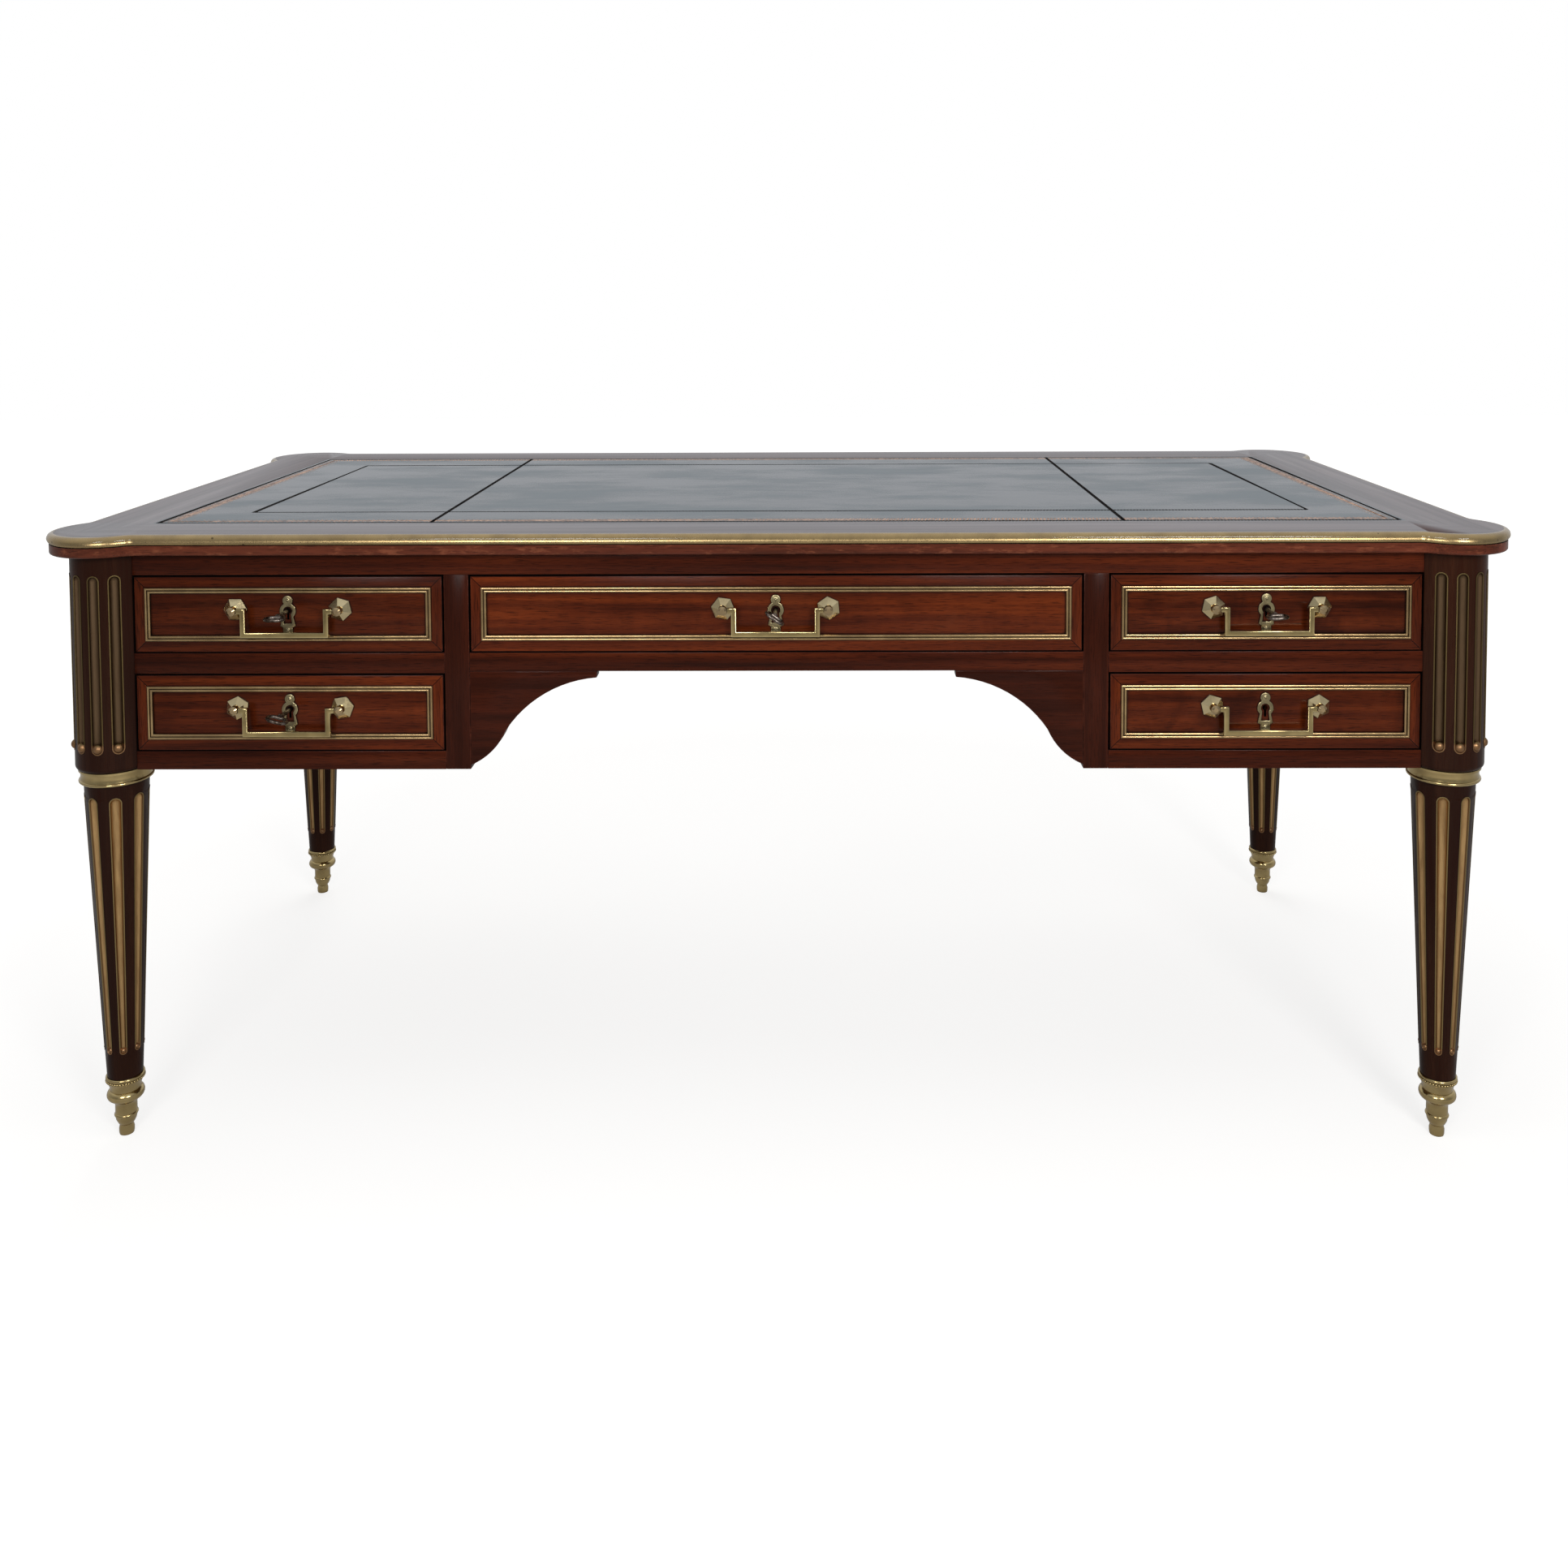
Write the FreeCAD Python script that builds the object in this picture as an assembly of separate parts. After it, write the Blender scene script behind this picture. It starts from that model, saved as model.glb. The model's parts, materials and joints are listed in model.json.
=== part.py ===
import FreeCAD, Part
import math
import os

Vector = FreeCAD.Vector

# A flat-topped writing desk on four fluted legs, in millimetres.
# +X runs to the sitter's right, +Y to the back and +Z up, from the floor under the desk's middle.

# Main frame
TOP_HEIGHT = 765.0
LEG_X = 821.0
LEG_Y = 360.0
FACE_SET = 26.0

# Writing top, with round ears over the legs
TOP_THICK = 25.5
TOP_EDGE_SET = 49.5
EAR_R = 67.5
EAR_FILLET_R = 18.0
LIP_ROUND = 3.0
END_BORDER = 86.5
FRONT_BORDER = 83.5
LEATHER_THICK = 2.0

# Brass edge let into the rim of the top
EDGE_HEIGHT = 13.0
EDGE_SEAT = 5.0
EDGE_PROUD = 2.5
EDGE_ROUND = 5.5
EDGE_JOINT = 81.0

# Heights of the front, from the top down
TOP_RAIL_H = 27.7
UPPER_DRAWER_H = 96.0
DIVIDER_H = 25.3
LOWER_DRAWER_H = 96.0
BOTTOM_RAIL_H = 22.7
CENTRE_RAIL_H = 23.0

# Widths of the front, from the middle out
CENTRE_HALF = 373.2
STILE_W = 30.3

# Boards of the carcass
RAIL_DEPTH = 24.0
END_THICK = 18.0
BACK_THICK = 18.0
PEDESTAL_SIDE_THICK = 18.0
PEDESTAL_BOTTOM_THICK = 8.0
RUNNER_W = 14.0
RUNNER_H = 14.0
GUIDE_H = 22.0

# Shaped brackets in the corners of the kneehole
BRACKET_THICK = 20.0
BRACKET_REACH = 155.0
BRACKET_DROP = 116.0
BRACKET_STEP = 8.0
BRACKET_KNEE_REACH = 43.0
BRACKET_KNEE_DROP = 73.0
BRACKET_ARCH_SAG = 15.0
BRACKET_TOE_SAG = 6.0

# Corner posts
POST_R = 46.0
POST_OVERHANG = 0.6
POST_FOOT_ROUND = 6.0
POST_FLUTES = 6
POST_FLUTE_PITCH = 30.0
POST_FLUTE_FIRST = -30.0
POST_FLUTE_R = 7.5
POST_FLUTE_TOP_GAP = 24.5
POST_FLUTE_FOOT_GAP = 23.8

# Turned legs
NECK_R = 33.0
SHAFT_TOP_R = 37.5
SHAFT_FOOT_R = 20.8
LEG_FLUTES = 8
LEG_FLUTE_FIRST = 22.5
LEG_FLUTE_TOP_R = 7.6
LEG_FLUTE_FOOT_R = 4.7
LEG_FLUTE_TOP_GAP = 15.0
LEG_FLUTE_FOOT_GAP = 33.0
FLUTE_OUT = 1.5
LINING_THICK = 1.2
LINING_FIT = 0.1
LINING_RIM = 0.5
PEARL_SET = 4.0
LEG_TENON_R = 9.0
LEG_TENON_LENGTH = 26.0

# Brass collar between post and leg, and the cup on each foot
COLLAR_H = 17.0
COLLAR_R = 43.0
COLLAR_BAND_SET = 1.6
COLLAR_FILLET_H = 2.4
COLLAR_BEAD_H = 4.0
SABOT_H = 77.5
SABOT_RIM_R = 22.8
SABOT_RIM_H = 4.0
SABOT_RIM_SET = 1.2
SABOT_BAND_H = 3.2
SABOT_NECK_R = 18.0
SABOT_TORUS_R = 22.0
SABOT_TORUS_Z = 52.0
SABOT_TORUS_HALF = 6.5
SABOT_CUP_SHOULDER_R = 16.6
SABOT_CUP_R = 12.8
SABOT_CUP_TOP_Z = 38.5
SABOT_RING_R = 14.0
SABOT_RING_Z = 25.8
SABOT_RING_HALF = 2.1
SABOT_WAIST_R = 7.9
SABOT_WAIST_Z = 12.2
SABOT_BULB_R = 9.2
SABOT_BULB_Z = 4.8
SABOT_FOOT_R = 8.4

# Drawers
DRAWER_GAP = 2.2
RUN_GAP = 0.3
FRONT_FOOT_GAP = 1.4
FRONT_THICK = 22.0
DRAWER_DEPTH = 560.0
BOX_SIDE_GAP = 2.6
BOX_WALL = 10.0
BOX_DROP = 8.0
BOX_BACK_DROP = 6.0
BOX_BOTTOM_RISE = 7.0
BOX_BOTTOM_THICK = 6.0

# Reeded brass frames on the drawers and panels
FRAME_INSET = 15.0
FRAME_W = 7.0
FRAME_BED = 1.3
FRAME_REED = 1.7
FRAME_QUIRK = 0.5

# Bail handles on faceted rosettes
HANDLE_RISE = 6.2
ROSETTE_X = 64.0
ROSETTE_R = 14.5
ROSETTE_RIM = 1.8
ROSETTE_H = 6.2
ROSETTE_TIP_R = 6.2
ROSETTE_SIDES = 6
ROSETTE_TURN = 17.0
STUD_R = 5.4
STUD_STAND = 4.4
STUD_NOSE = 3.9
STUD_CROWN = 2.0
STUD_SHANK_R = 3.0
STUD_NUT_R = 7.0
STUD_NUT_H = 4.0
BAIL_ARM_X = 50.4
BAIL_DROP = 29.0
BAIL_ROD = 6.4
BAIL_EDGE = 0.8
BAIL_STUB_GAP = 0.6
BAIL_PIN_R = 2.4
BAIL_PIN_CLEAR = 0.06
BAIL_PIN_BITE = 4.0
BAIL_PIN_END_GAP = 0.5

# Locks with their bolts, keys and keyhole plates
KEY_DROP = 2.0
LOCK_W = 56.0
LOCK_BELOW_KEY = 21.0
LOCK_THICK = 12.0
LOCK_WALL = 1.5
BOLT_W = 24.0
BOLT_THICK = 6.0
BOLT_CLEAR = 0.4
BOLT_LIFT_OFF = 4.2
BOLT_THROW = 7.0
MORTISE_CLEAR = 1.0
KEYHOLE_R = 3.4
KEYHOLE_SLOT_W = 2.8
KEYHOLE_SLOT_DROP = 11.0
KEY_SHANK_R = 2.5
KEY_BIT_REACH = 9.0
KEY_BIT_THICK = 2.0
KEY_BIT_CLEAR = 1.0
KEY_STAND = 36.0
KEY_COLLAR_R = 3.7
KEY_COLLAR_H = 2.6
KEY_BOW_HALF_W = 11.5
KEY_BOW_HALF_L = 8.0
KEY_BOW_WIRE_R = 2.0
KEY_TILT = {"upper_left": 0.0, "lower_left": -16.0, "centre": -35.0, "upper_right": 3.0}
PLATE_THICK = 2.0
PLATE_RING_R = 9.7
PLATE_LOBE_R = 5.9
PLATE_TOP_LOBE_RISE = 12.8
PLATE_FOOT_LOBE_DROP = 23.6
PLATE_SKIRT_DROP = 18.2
PLATE_SKIRT_HALF = 9.2
PLATE_EYE_R = 5.3
PLATE_SLOT_HEAD_HALF = 3.4
PLATE_SLOT_FOOT_HALF = 5.3
PLATE_SLOT_DROP = 15.6
PLATE_PIN_R = 2.2
PLATE_PIN_H = 1.2

# Levels and faces worked out from the sizes above
LEATHER_X = LEG_X + TOP_EDGE_SET - END_BORDER
LEATHER_Y = LEG_Y + TOP_EDGE_SET - FRONT_BORDER
UNDERSIDE = TOP_HEIGHT - TOP_THICK
UPPER_TOP = UNDERSIDE - TOP_RAIL_H
UPPER_FOOT = UPPER_TOP - UPPER_DRAWER_H
LOWER_TOP = UPPER_FOOT - DIVIDER_H
LOWER_FOOT = LOWER_TOP - LOWER_DRAWER_H
APRON_FOOT = LOWER_FOOT - BOTTOM_RAIL_H
CENTRE_FOOT = UPPER_FOOT - CENTRE_RAIL_H
POST_FOOT = APRON_FOOT - POST_OVERHANG
COLLAR_FOOT = POST_FOOT - COLLAR_H
SHAFT_LENGTH = COLLAR_FOOT - SABOT_H
JOINT_SET = math.sqrt(POST_R ** 2 - FACE_SET ** 2)
JOINT_X = LEG_X - JOINT_SET
JOINT_Y = LEG_Y - JOINT_SET
FRONT_Y = -(LEG_Y + FACE_SET)
BACK_Y = LEG_Y + FACE_SET
END_X = LEG_X + FACE_SET
RAIL_Y = FRONT_Y + RAIL_DEPTH
BACK_IN_Y = BACK_Y - BACK_THICK
END_IN_X = END_X - END_THICK
STILE_X = CENTRE_HALF + STILE_W
PEDESTAL_X = CENTRE_HALF + PEDESTAL_SIDE_THICK
PIVOT_Y = FRONT_Y - ROSETTE_RIM - ROSETTE_H - STUD_STAND

AXIS_Z = Vector(0, 0, 1)
BEYOND = 2.0 * TOP_HEIGHT
CUT_PAST = 1.0


def block(x0, x1, y0, y1, z0, z1):
    """Box between two corners."""
    return Part.makeBox(x1 - x0, y1 - y0, z1 - z0, Vector(x0, y0, z0))


def rod(radius, start, end):
    """Round bar from one point to another."""
    axis = end - start
    return Part.makeCylinder(radius, axis.Length, start, axis)


def arc(start, middle, end):
    """Circular edge through three points."""
    return Part.Arc(start, middle, end).toShape()


def line(start, end):
    """Straight edge between two points."""
    return Part.LineSegment(start, end).toShape()


def prism(edges, along):
    """Solid swept straight from a closed outline."""
    return Part.Face(Part.Wire(edges)).extrude(along)


def polygon(points, along):
    """Solid swept straight from a closed run of points."""
    return Part.Face(Part.makePolygon(points + points[:1])).extrude(along)


def turned(edges):
    """Solid turned about the Z axis from a half profile in the XZ plane."""
    return Part.Face(Part.Wire(edges)).revolve(Vector(), AXIS_Z, 360)


def flipped_x(shape):
    """Mirror image on the other side of the desk's middle, left for right."""
    return shape.mirror(Vector(), Vector(1, 0, 0))


def flipped_y(shape):
    """Mirror image on the other side of the desk's middle, front for back."""
    return shape.mirror(Vector(), Vector(0, 1, 0))


def both_sides(shapes):
    """The given shapes and their mirror images, left for right."""
    return shapes + [flipped_x(shape) for shape in shapes]


def four_corners(shape):
    """A shape at the back right corner, copied to all four corners."""
    right = [shape, flipped_y(shape)]
    return both_sides(right)


def save(node, solids):
    """Write one sub-part, as a solid or as a group of separate solids."""
    shape = solids[0] if len(solids) == 1 else Part.makeCompound(solids)
    shape.exportStep("parts/" + node + ".step")


def ear_points(inset):
    """Tangent points and mid points of the top's outline at the back right ear."""
    edge_x = LEG_X + TOP_EDGE_SET - inset
    edge_y = LEG_Y + TOP_EDGE_SET - inset
    span = EAR_R + EAR_FILLET_R
    rise = TOP_EDGE_SET + EAR_FILLET_R
    along = math.sqrt(span ** 2 - rise ** 2)
    ear_r = EAR_R - inset
    fillet_r = EAR_FILLET_R + inset
    leg = Vector(LEG_X, LEG_Y, 0)
    back_fillet = leg + Vector(-along, rise, 0)
    side_fillet = leg + Vector(rise, -along, 0)
    back_touch = leg + (back_fillet - leg) * (ear_r / span)
    side_touch = leg + (side_fillet - leg) * (ear_r / span)
    back_bisector = (Vector(0, -1, 0) + (leg - back_fillet) * (1 / span)).normalize()
    side_bisector = (Vector(-1, 0, 0) + (leg - side_fillet) * (1 / span)).normalize()
    outward = Vector(1, 1, 0).normalize()
    return {
        "back_end": Vector(back_fillet.x, edge_y, 0),
        "back_fillet": back_fillet + back_bisector * fillet_r,
        "back_touch": back_touch,
        "tip": leg + outward * ear_r,
        "side_touch": side_touch,
        "side_fillet": side_fillet + side_bisector * fillet_r,
        "side_end": Vector(edge_x, side_fillet.y, 0),
    }


def ear_edges(inset):
    """The three arcs round the back right ear, from the back edge to the right one."""
    at = ear_points(inset)
    return [
        arc(at["back_end"], at["back_fillet"], at["back_touch"]),
        arc(at["back_touch"], at["tip"], at["side_touch"]),
        arc(at["side_touch"], at["side_fillet"], at["side_end"]),
    ]


def top_outline(inset, z, height):
    """Slab with the top's outline, drawn in by an inset all round."""
    at = ear_points(inset)
    corner = ear_edges(inset)
    right = corner + [flipped_y(edge) for edge in corner]
    edges = right + [flipped_x(edge) for edge in right]
    for sign in (1, -1):
        back = at["back_end"]
        side = at["side_end"]
        edges.append(line(Vector(-back.x, sign * back.y, 0), Vector(back.x, sign * back.y, 0)))
        edges.append(line(Vector(sign * side.x, -side.y, 0), Vector(sign * side.x, side.y, 0)))
    wire = Part.Wire(Part.__sortEdges__(edges))
    slab = Part.Face(wire).extrude(Vector(0, 0, height))
    slab.translate(Vector(0, 0, z))
    return slab


def edge_profile():
    """Section of the brass edge, with its round face towards +X and its foot at the origin."""
    flat = EDGE_PROUD - EDGE_ROUND
    foot_in = Vector(-EDGE_SEAT, 0, 0)
    foot_out = Vector(flat, 0, 0)
    nose = Vector(EDGE_PROUD, 0, EDGE_HEIGHT / 2)
    head_out = Vector(flat, 0, EDGE_HEIGHT)
    head_in = Vector(-EDGE_SEAT, 0, EDGE_HEIGHT)
    edges = [line(foot_in, foot_out), arc(foot_out, nose, head_out), line(head_out, head_in), line(head_in, foot_in)]
    return Part.Wire(edges)


def top_board():
    """Solid top with a rebated rim for the brass edge and a shallow bed for the leather."""
    rebate_z = TOP_HEIGHT - EDGE_HEIGHT
    lip = top_outline(0.0, UNDERSIDE, rebate_z - UNDERSIDE)
    foot_edges = [edge for edge in lip.Edges if edge.BoundBox.ZMax < UNDERSIDE + LIP_ROUND / 2]
    lip = lip.makeFillet(LIP_ROUND, foot_edges)
    field = top_outline(EDGE_SEAT, rebate_z, EDGE_HEIGHT)
    bed = block(-LEATHER_X, LEATHER_X, -LEATHER_Y, LEATHER_Y, TOP_HEIGHT - LEATHER_THICK, TOP_HEIGHT + CUT_PAST)
    return lip.fuse(field).removeSplitter().cut(bed)


def writing_leather():
    """Panel of leather laid flush in the top."""
    return block(-LEATHER_X, LEATHER_X, -LEATHER_Y, LEATHER_Y, TOP_HEIGHT - LEATHER_THICK, TOP_HEIGHT)


def edge_ear():
    """Length of brass edge bent round the back right ear, with a short straight run at each end."""
    at = ear_points(0.0)
    start = Vector(LEG_X - EDGE_JOINT, at["back_end"].y, 0)
    end = Vector(at["side_end"].x, LEG_Y - EDGE_JOINT, 0)
    path = Part.Wire([line(start, at["back_end"])] + ear_edges(0.0) + [line(at["side_end"], end)])
    section = edge_profile()
    section.rotate(Vector(), AXIS_Z, 90)
    section.translate(start)
    ear = path.makePipeShell([section], True, False)
    ear.translate(Vector(0, 0, TOP_HEIGHT - EDGE_HEIGHT))
    return ear


def edge_length(reach, half):
    """Straight length of brass edge along Y, on the right at a given reach from the middle."""
    length = Part.Face(edge_profile()).extrude(Vector(0, 2 * half, 0))
    length.translate(Vector(reach, -half, TOP_HEIGHT - EDGE_HEIGHT))
    return length


def edge_lengths():
    """The four straight lengths of brass edge."""
    side = edge_length(LEG_X + TOP_EDGE_SET, LEG_Y - EDGE_JOINT)
    back = edge_length(LEG_Y + TOP_EDGE_SET, LEG_X - EDGE_JOINT)
    back.rotate(Vector(), AXIS_Z, 90)
    return [side, flipped_x(side), back, flipped_y(back)]


def flute_core(low_r, high_r, low, high):
    """Round-ended spindle between two points, the shape a flute is scooped with."""
    length = (high - low).Length
    lean = (high_r - low_r) / length
    rise = math.sqrt(1 - lean ** 2)
    tip = Vector(0, 0, -low_r)
    low_touch = Vector(low_r * rise, 0, -low_r * lean)
    high_touch = Vector(high_r * rise, 0, length - high_r * lean)
    crown = Vector(0, 0, length + high_r)
    half = math.sqrt(0.5)
    low_mid = Vector(low_r * half, 0, -low_r * half)
    high_mid = Vector(high_r * half, 0, length + high_r * half)
    edges = [
        arc(tip, low_mid, low_touch),
        line(low_touch, high_touch),
        arc(high_touch, high_mid, crown),
        line(crown, tip),
    ]
    core = turned(edges)
    core.Placement = FreeCAD.Placement(low, FreeCAD.Rotation(AXIS_Z, high - low))
    return core


def flute_lining(low_r, high_r, low, high, inward, skin):
    """Brass channel in one flute, with a pearl at its foot, cut off just proud of the wood."""
    hollow_low_r = low_r - LINING_FIT - LINING_THICK
    hollow_high_r = high_r - LINING_FIT - LINING_THICK
    scoop = flute_core(low_r - LINING_FIT, high_r - LINING_FIT, low, high)
    hollow = flute_core(hollow_low_r, hollow_high_r, low, high)
    pearl = Part.makeSphere(hollow_low_r, low + inward * PEARL_SET).common(scoop)
    return scoop.cut(hollow).common(skin).fuse(pearl).removeSplitter()


def outward(turn):
    """Level direction, turned from the back towards the right."""
    angle = math.radians(turn)
    return Vector(math.sin(angle), math.cos(angle), 0)


def shaft_r(z):
    """Radius of the tapered leg at a height."""
    return SHAFT_FOOT_R + (SHAFT_TOP_R - SHAFT_FOOT_R) * (z - SABOT_H) / SHAFT_LENGTH


def post_flutes():
    """Foot and head centre of each flute in the post, about the leg's axis."""
    low_z = APRON_FOOT + POST_FLUTE_FOOT_GAP + POST_FLUTE_R
    high_z = UNDERSIDE - POST_FLUTE_TOP_GAP - POST_FLUTE_R
    flutes = []
    for index in range(POST_FLUTES):
        facing = outward(POST_FLUTE_FIRST + index * POST_FLUTE_PITCH)
        low = facing * (POST_R + FLUTE_OUT) + AXIS_Z * low_z
        high = facing * (POST_R + FLUTE_OUT) + AXIS_Z * high_z
        flutes.append((POST_FLUTE_R, POST_FLUTE_R, low, high))
    return flutes


def leg_flutes():
    """Foot and head centre of each flute in the tapered shaft, about the leg's axis."""
    low_z = SABOT_H + LEG_FLUTE_FOOT_GAP + LEG_FLUTE_FOOT_R
    high_z = COLLAR_FOOT - LEG_FLUTE_TOP_GAP - LEG_FLUTE_TOP_R
    flutes = []
    for index in range(LEG_FLUTES):
        facing = outward(LEG_FLUTE_FIRST + index * 360.0 / LEG_FLUTES)
        low = facing * (shaft_r(low_z) + FLUTE_OUT) + AXIS_Z * low_z
        high = facing * (shaft_r(high_z) + FLUTE_OUT) + AXIS_Z * high_z
        flutes.append((LEG_FLUTE_FOOT_R, LEG_FLUTE_TOP_R, low, high))
    return flutes


def linings(flutes, pitch, skin):
    """Brass channels for a ring of flutes: the first one, and copies of it turned round the leg's axis."""
    foot = flutes[0][2]
    inward = Vector(-foot.x, -foot.y, 0).normalize()
    first = flute_lining(*flutes[0], inward, skin)
    return [first.rotated(Vector(), AXIS_Z, -pitch * index) for index in range(len(flutes))]


def at_leg(shape):
    """Move a shape from the origin's axis to the back right leg's axis."""
    return shape.translated(Vector(LEG_X, LEG_Y, 0))


def post_linings():
    """Brass channels of the back right post."""
    skin = Part.makeCylinder(POST_R + LINING_RIM, TOP_HEIGHT)
    return [at_leg(lining) for lining in linings(post_flutes(), POST_FLUTE_PITCH, skin)]


def leg_linings():
    """Brass channels of the back right leg."""
    skin = Part.makeCone(
        SHAFT_FOOT_R + LINING_RIM, SHAFT_TOP_R + LINING_RIM, SHAFT_LENGTH, Vector(0, 0, SABOT_H)
    )
    return [at_leg(lining) for lining in linings(leg_flutes(), 360.0 / LEG_FLUTES, skin)]


def leg():
    """Back right leg: tenon, tapered fluted shaft, neck and fluted corner post in one piece of wood."""
    round_z = POST_FOOT + POST_FOOT_ROUND
    round_x = POST_R - POST_FOOT_ROUND
    half = POST_FOOT_ROUND * math.sqrt(0.5)
    tenon_z = SABOT_H - LEG_TENON_LENGTH
    foot = [
        Vector(0, 0, UNDERSIDE),
        Vector(0, 0, tenon_z),
        Vector(LEG_TENON_R, 0, tenon_z),
        Vector(LEG_TENON_R, 0, SABOT_H),
        Vector(SHAFT_FOOT_R, 0, SABOT_H),
        Vector(SHAFT_TOP_R, 0, COLLAR_FOOT),
        Vector(NECK_R, 0, COLLAR_FOOT),
        Vector(NECK_R, 0, POST_FOOT),
        Vector(round_x, 0, POST_FOOT),
    ]
    edges = [line(a, b) for a, b in zip(foot, foot[1:])]
    post_side = Vector(POST_R, 0, round_z)
    post_head = Vector(POST_R, 0, UNDERSIDE)
    edges.append(arc(foot[-1], Vector(round_x + half, 0, round_z - half), post_side))
    edges.append(line(post_side, post_head))
    edges.append(line(post_head, foot[0]))
    wood = turned(edges)
    wood = wood.common(block(-JOINT_SET, BEYOND, -JOINT_SET, BEYOND, 0, TOP_HEIGHT))
    for flute in post_flutes() + leg_flutes():
        wood = wood.cut(flute_core(*flute))
    return at_leg(wood)


def leg_collar():
    """Brass ring between the back right post and its leg."""
    band_r = COLLAR_R - COLLAR_BAND_SET
    fillet_z = COLLAR_H - COLLAR_FILLET_H
    band_mid = (COLLAR_BEAD_H + fillet_z) / 2
    bore_foot = Vector(NECK_R, 0, 0)
    bead_foot = Vector(band_r, 0, 0)
    bead_head = Vector(band_r, 0, COLLAR_BEAD_H)
    band_head = Vector(band_r, 0, fillet_z)
    fillet_foot = Vector(COLLAR_R, 0, fillet_z)
    fillet_head = Vector(COLLAR_R, 0, COLLAR_H)
    bore_head = Vector(NECK_R, 0, COLLAR_H)
    edges = [
        line(bore_foot, bead_foot),
        arc(bead_foot, Vector(COLLAR_R, 0, COLLAR_BEAD_H / 2), bead_head),
        arc(bead_head, Vector(band_r - COLLAR_BAND_SET / 2, 0, band_mid), band_head),
        line(band_head, fillet_foot),
        line(fillet_foot, fillet_head),
        line(fillet_head, bore_head),
        line(bore_head, bore_foot),
    ]
    return at_leg(turned(edges).translated(Vector(0, 0, COLLAR_FOOT)))


def leg_sabot():
    """Turned brass cup on the back right foot, with a socket for the leg's tenon."""
    rim_r = SABOT_RIM_R - SABOT_RIM_SET
    band_head = SABOT_H - SABOT_RIM_H
    band_foot = band_head - SABOT_BAND_H
    torus_head = SABOT_TORUS_Z + SABOT_TORUS_HALF
    torus_foot = SABOT_TORUS_Z - SABOT_TORUS_HALF
    ring_head = SABOT_RING_Z + SABOT_RING_HALF
    ring_foot = SABOT_RING_Z - SABOT_RING_HALF
    socket_z = SABOT_H - LEG_TENON_LENGTH
    neck_mid_r = SABOT_NECK_R + (rim_r - SABOT_NECK_R) / 4
    neck_mid_z = (band_foot + torus_head) / 2
    cup_mid_r = SABOT_CUP_R + (SABOT_CUP_SHOULDER_R - SABOT_CUP_R) / 4
    cup_mid_z = SABOT_CUP_TOP_Z + (torus_foot - SABOT_CUP_TOP_Z) / 2
    bell_mid_r = SABOT_WAIST_R + (SABOT_CUP_R - SABOT_WAIST_R) * 3 / 4
    bell_mid_z = (ring_foot + SABOT_WAIST_Z) / 2
    at = {
        "head": Vector(LEG_TENON_R, 0, SABOT_H),
        "rim_head": Vector(rim_r, 0, SABOT_H),
        "rim": Vector(SABOT_RIM_R, 0, SABOT_H - SABOT_RIM_H / 2),
        "band_head": Vector(rim_r, 0, band_head),
        "band_foot": Vector(rim_r, 0, band_foot),
        "neck_mid": Vector(neck_mid_r, 0, neck_mid_z),
        "torus_head": Vector(SABOT_NECK_R, 0, torus_head),
        "torus": Vector(SABOT_TORUS_R, 0, SABOT_TORUS_Z),
        "torus_foot": Vector(SABOT_CUP_SHOULDER_R, 0, torus_foot),
        "cup_mid": Vector(cup_mid_r, 0, cup_mid_z),
        "cup": Vector(SABOT_CUP_R, 0, SABOT_CUP_TOP_Z),
        "ring_head": Vector(SABOT_CUP_R, 0, ring_head),
        "ring": Vector(SABOT_RING_R, 0, SABOT_RING_Z),
        "ring_foot": Vector(SABOT_CUP_R, 0, ring_foot),
        "bell_mid": Vector(bell_mid_r, 0, bell_mid_z),
        "waist": Vector(SABOT_WAIST_R, 0, SABOT_WAIST_Z),
        "bulb": Vector(SABOT_BULB_R, 0, SABOT_BULB_Z),
        "foot": Vector(SABOT_FOOT_R, 0, 0),
        "middle": Vector(0, 0, 0),
        "socket_middle": Vector(0, 0, socket_z),
        "socket": Vector(LEG_TENON_R, 0, socket_z),
    }
    edges = [
        line(at["head"], at["rim_head"]),
        arc(at["rim_head"], at["rim"], at["band_head"]),
        line(at["band_head"], at["band_foot"]),
        arc(at["band_foot"], at["neck_mid"], at["torus_head"]),
        arc(at["torus_head"], at["torus"], at["torus_foot"]),
        arc(at["torus_foot"], at["cup_mid"], at["cup"]),
        line(at["cup"], at["ring_head"]),
        arc(at["ring_head"], at["ring"], at["ring_foot"]),
        arc(at["ring_foot"], at["bell_mid"], at["waist"]),
        arc(at["waist"], at["bulb"], at["foot"]),
        line(at["foot"], at["middle"]),
        line(at["middle"], at["socket_middle"]),
        line(at["socket_middle"], at["socket"]),
        line(at["socket"], at["head"]),
    ]
    return at_leg(turned(edges))


def bolt_y():
    """Middle of a lock's thickness, let into the back of a drawer front."""
    return FRONT_Y + FRONT_THICK - LOCK_THICK / 2


def mortise(middle_x, rail_foot):
    """Pocket over a lock for its bolt, in the underside of the rail above."""
    half_x = BOLT_W / 2 + MORTISE_CLEAR
    half_y = BOLT_THICK / 2 + MORTISE_CLEAR
    depth = BOLT_THROW - DRAWER_GAP + MORTISE_CLEAR
    return block(
        middle_x - half_x,
        middle_x + half_x,
        bolt_y() - half_y,
        bolt_y() + half_y,
        rail_foot - CUT_PAST,
        rail_foot + depth,
    )


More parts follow.
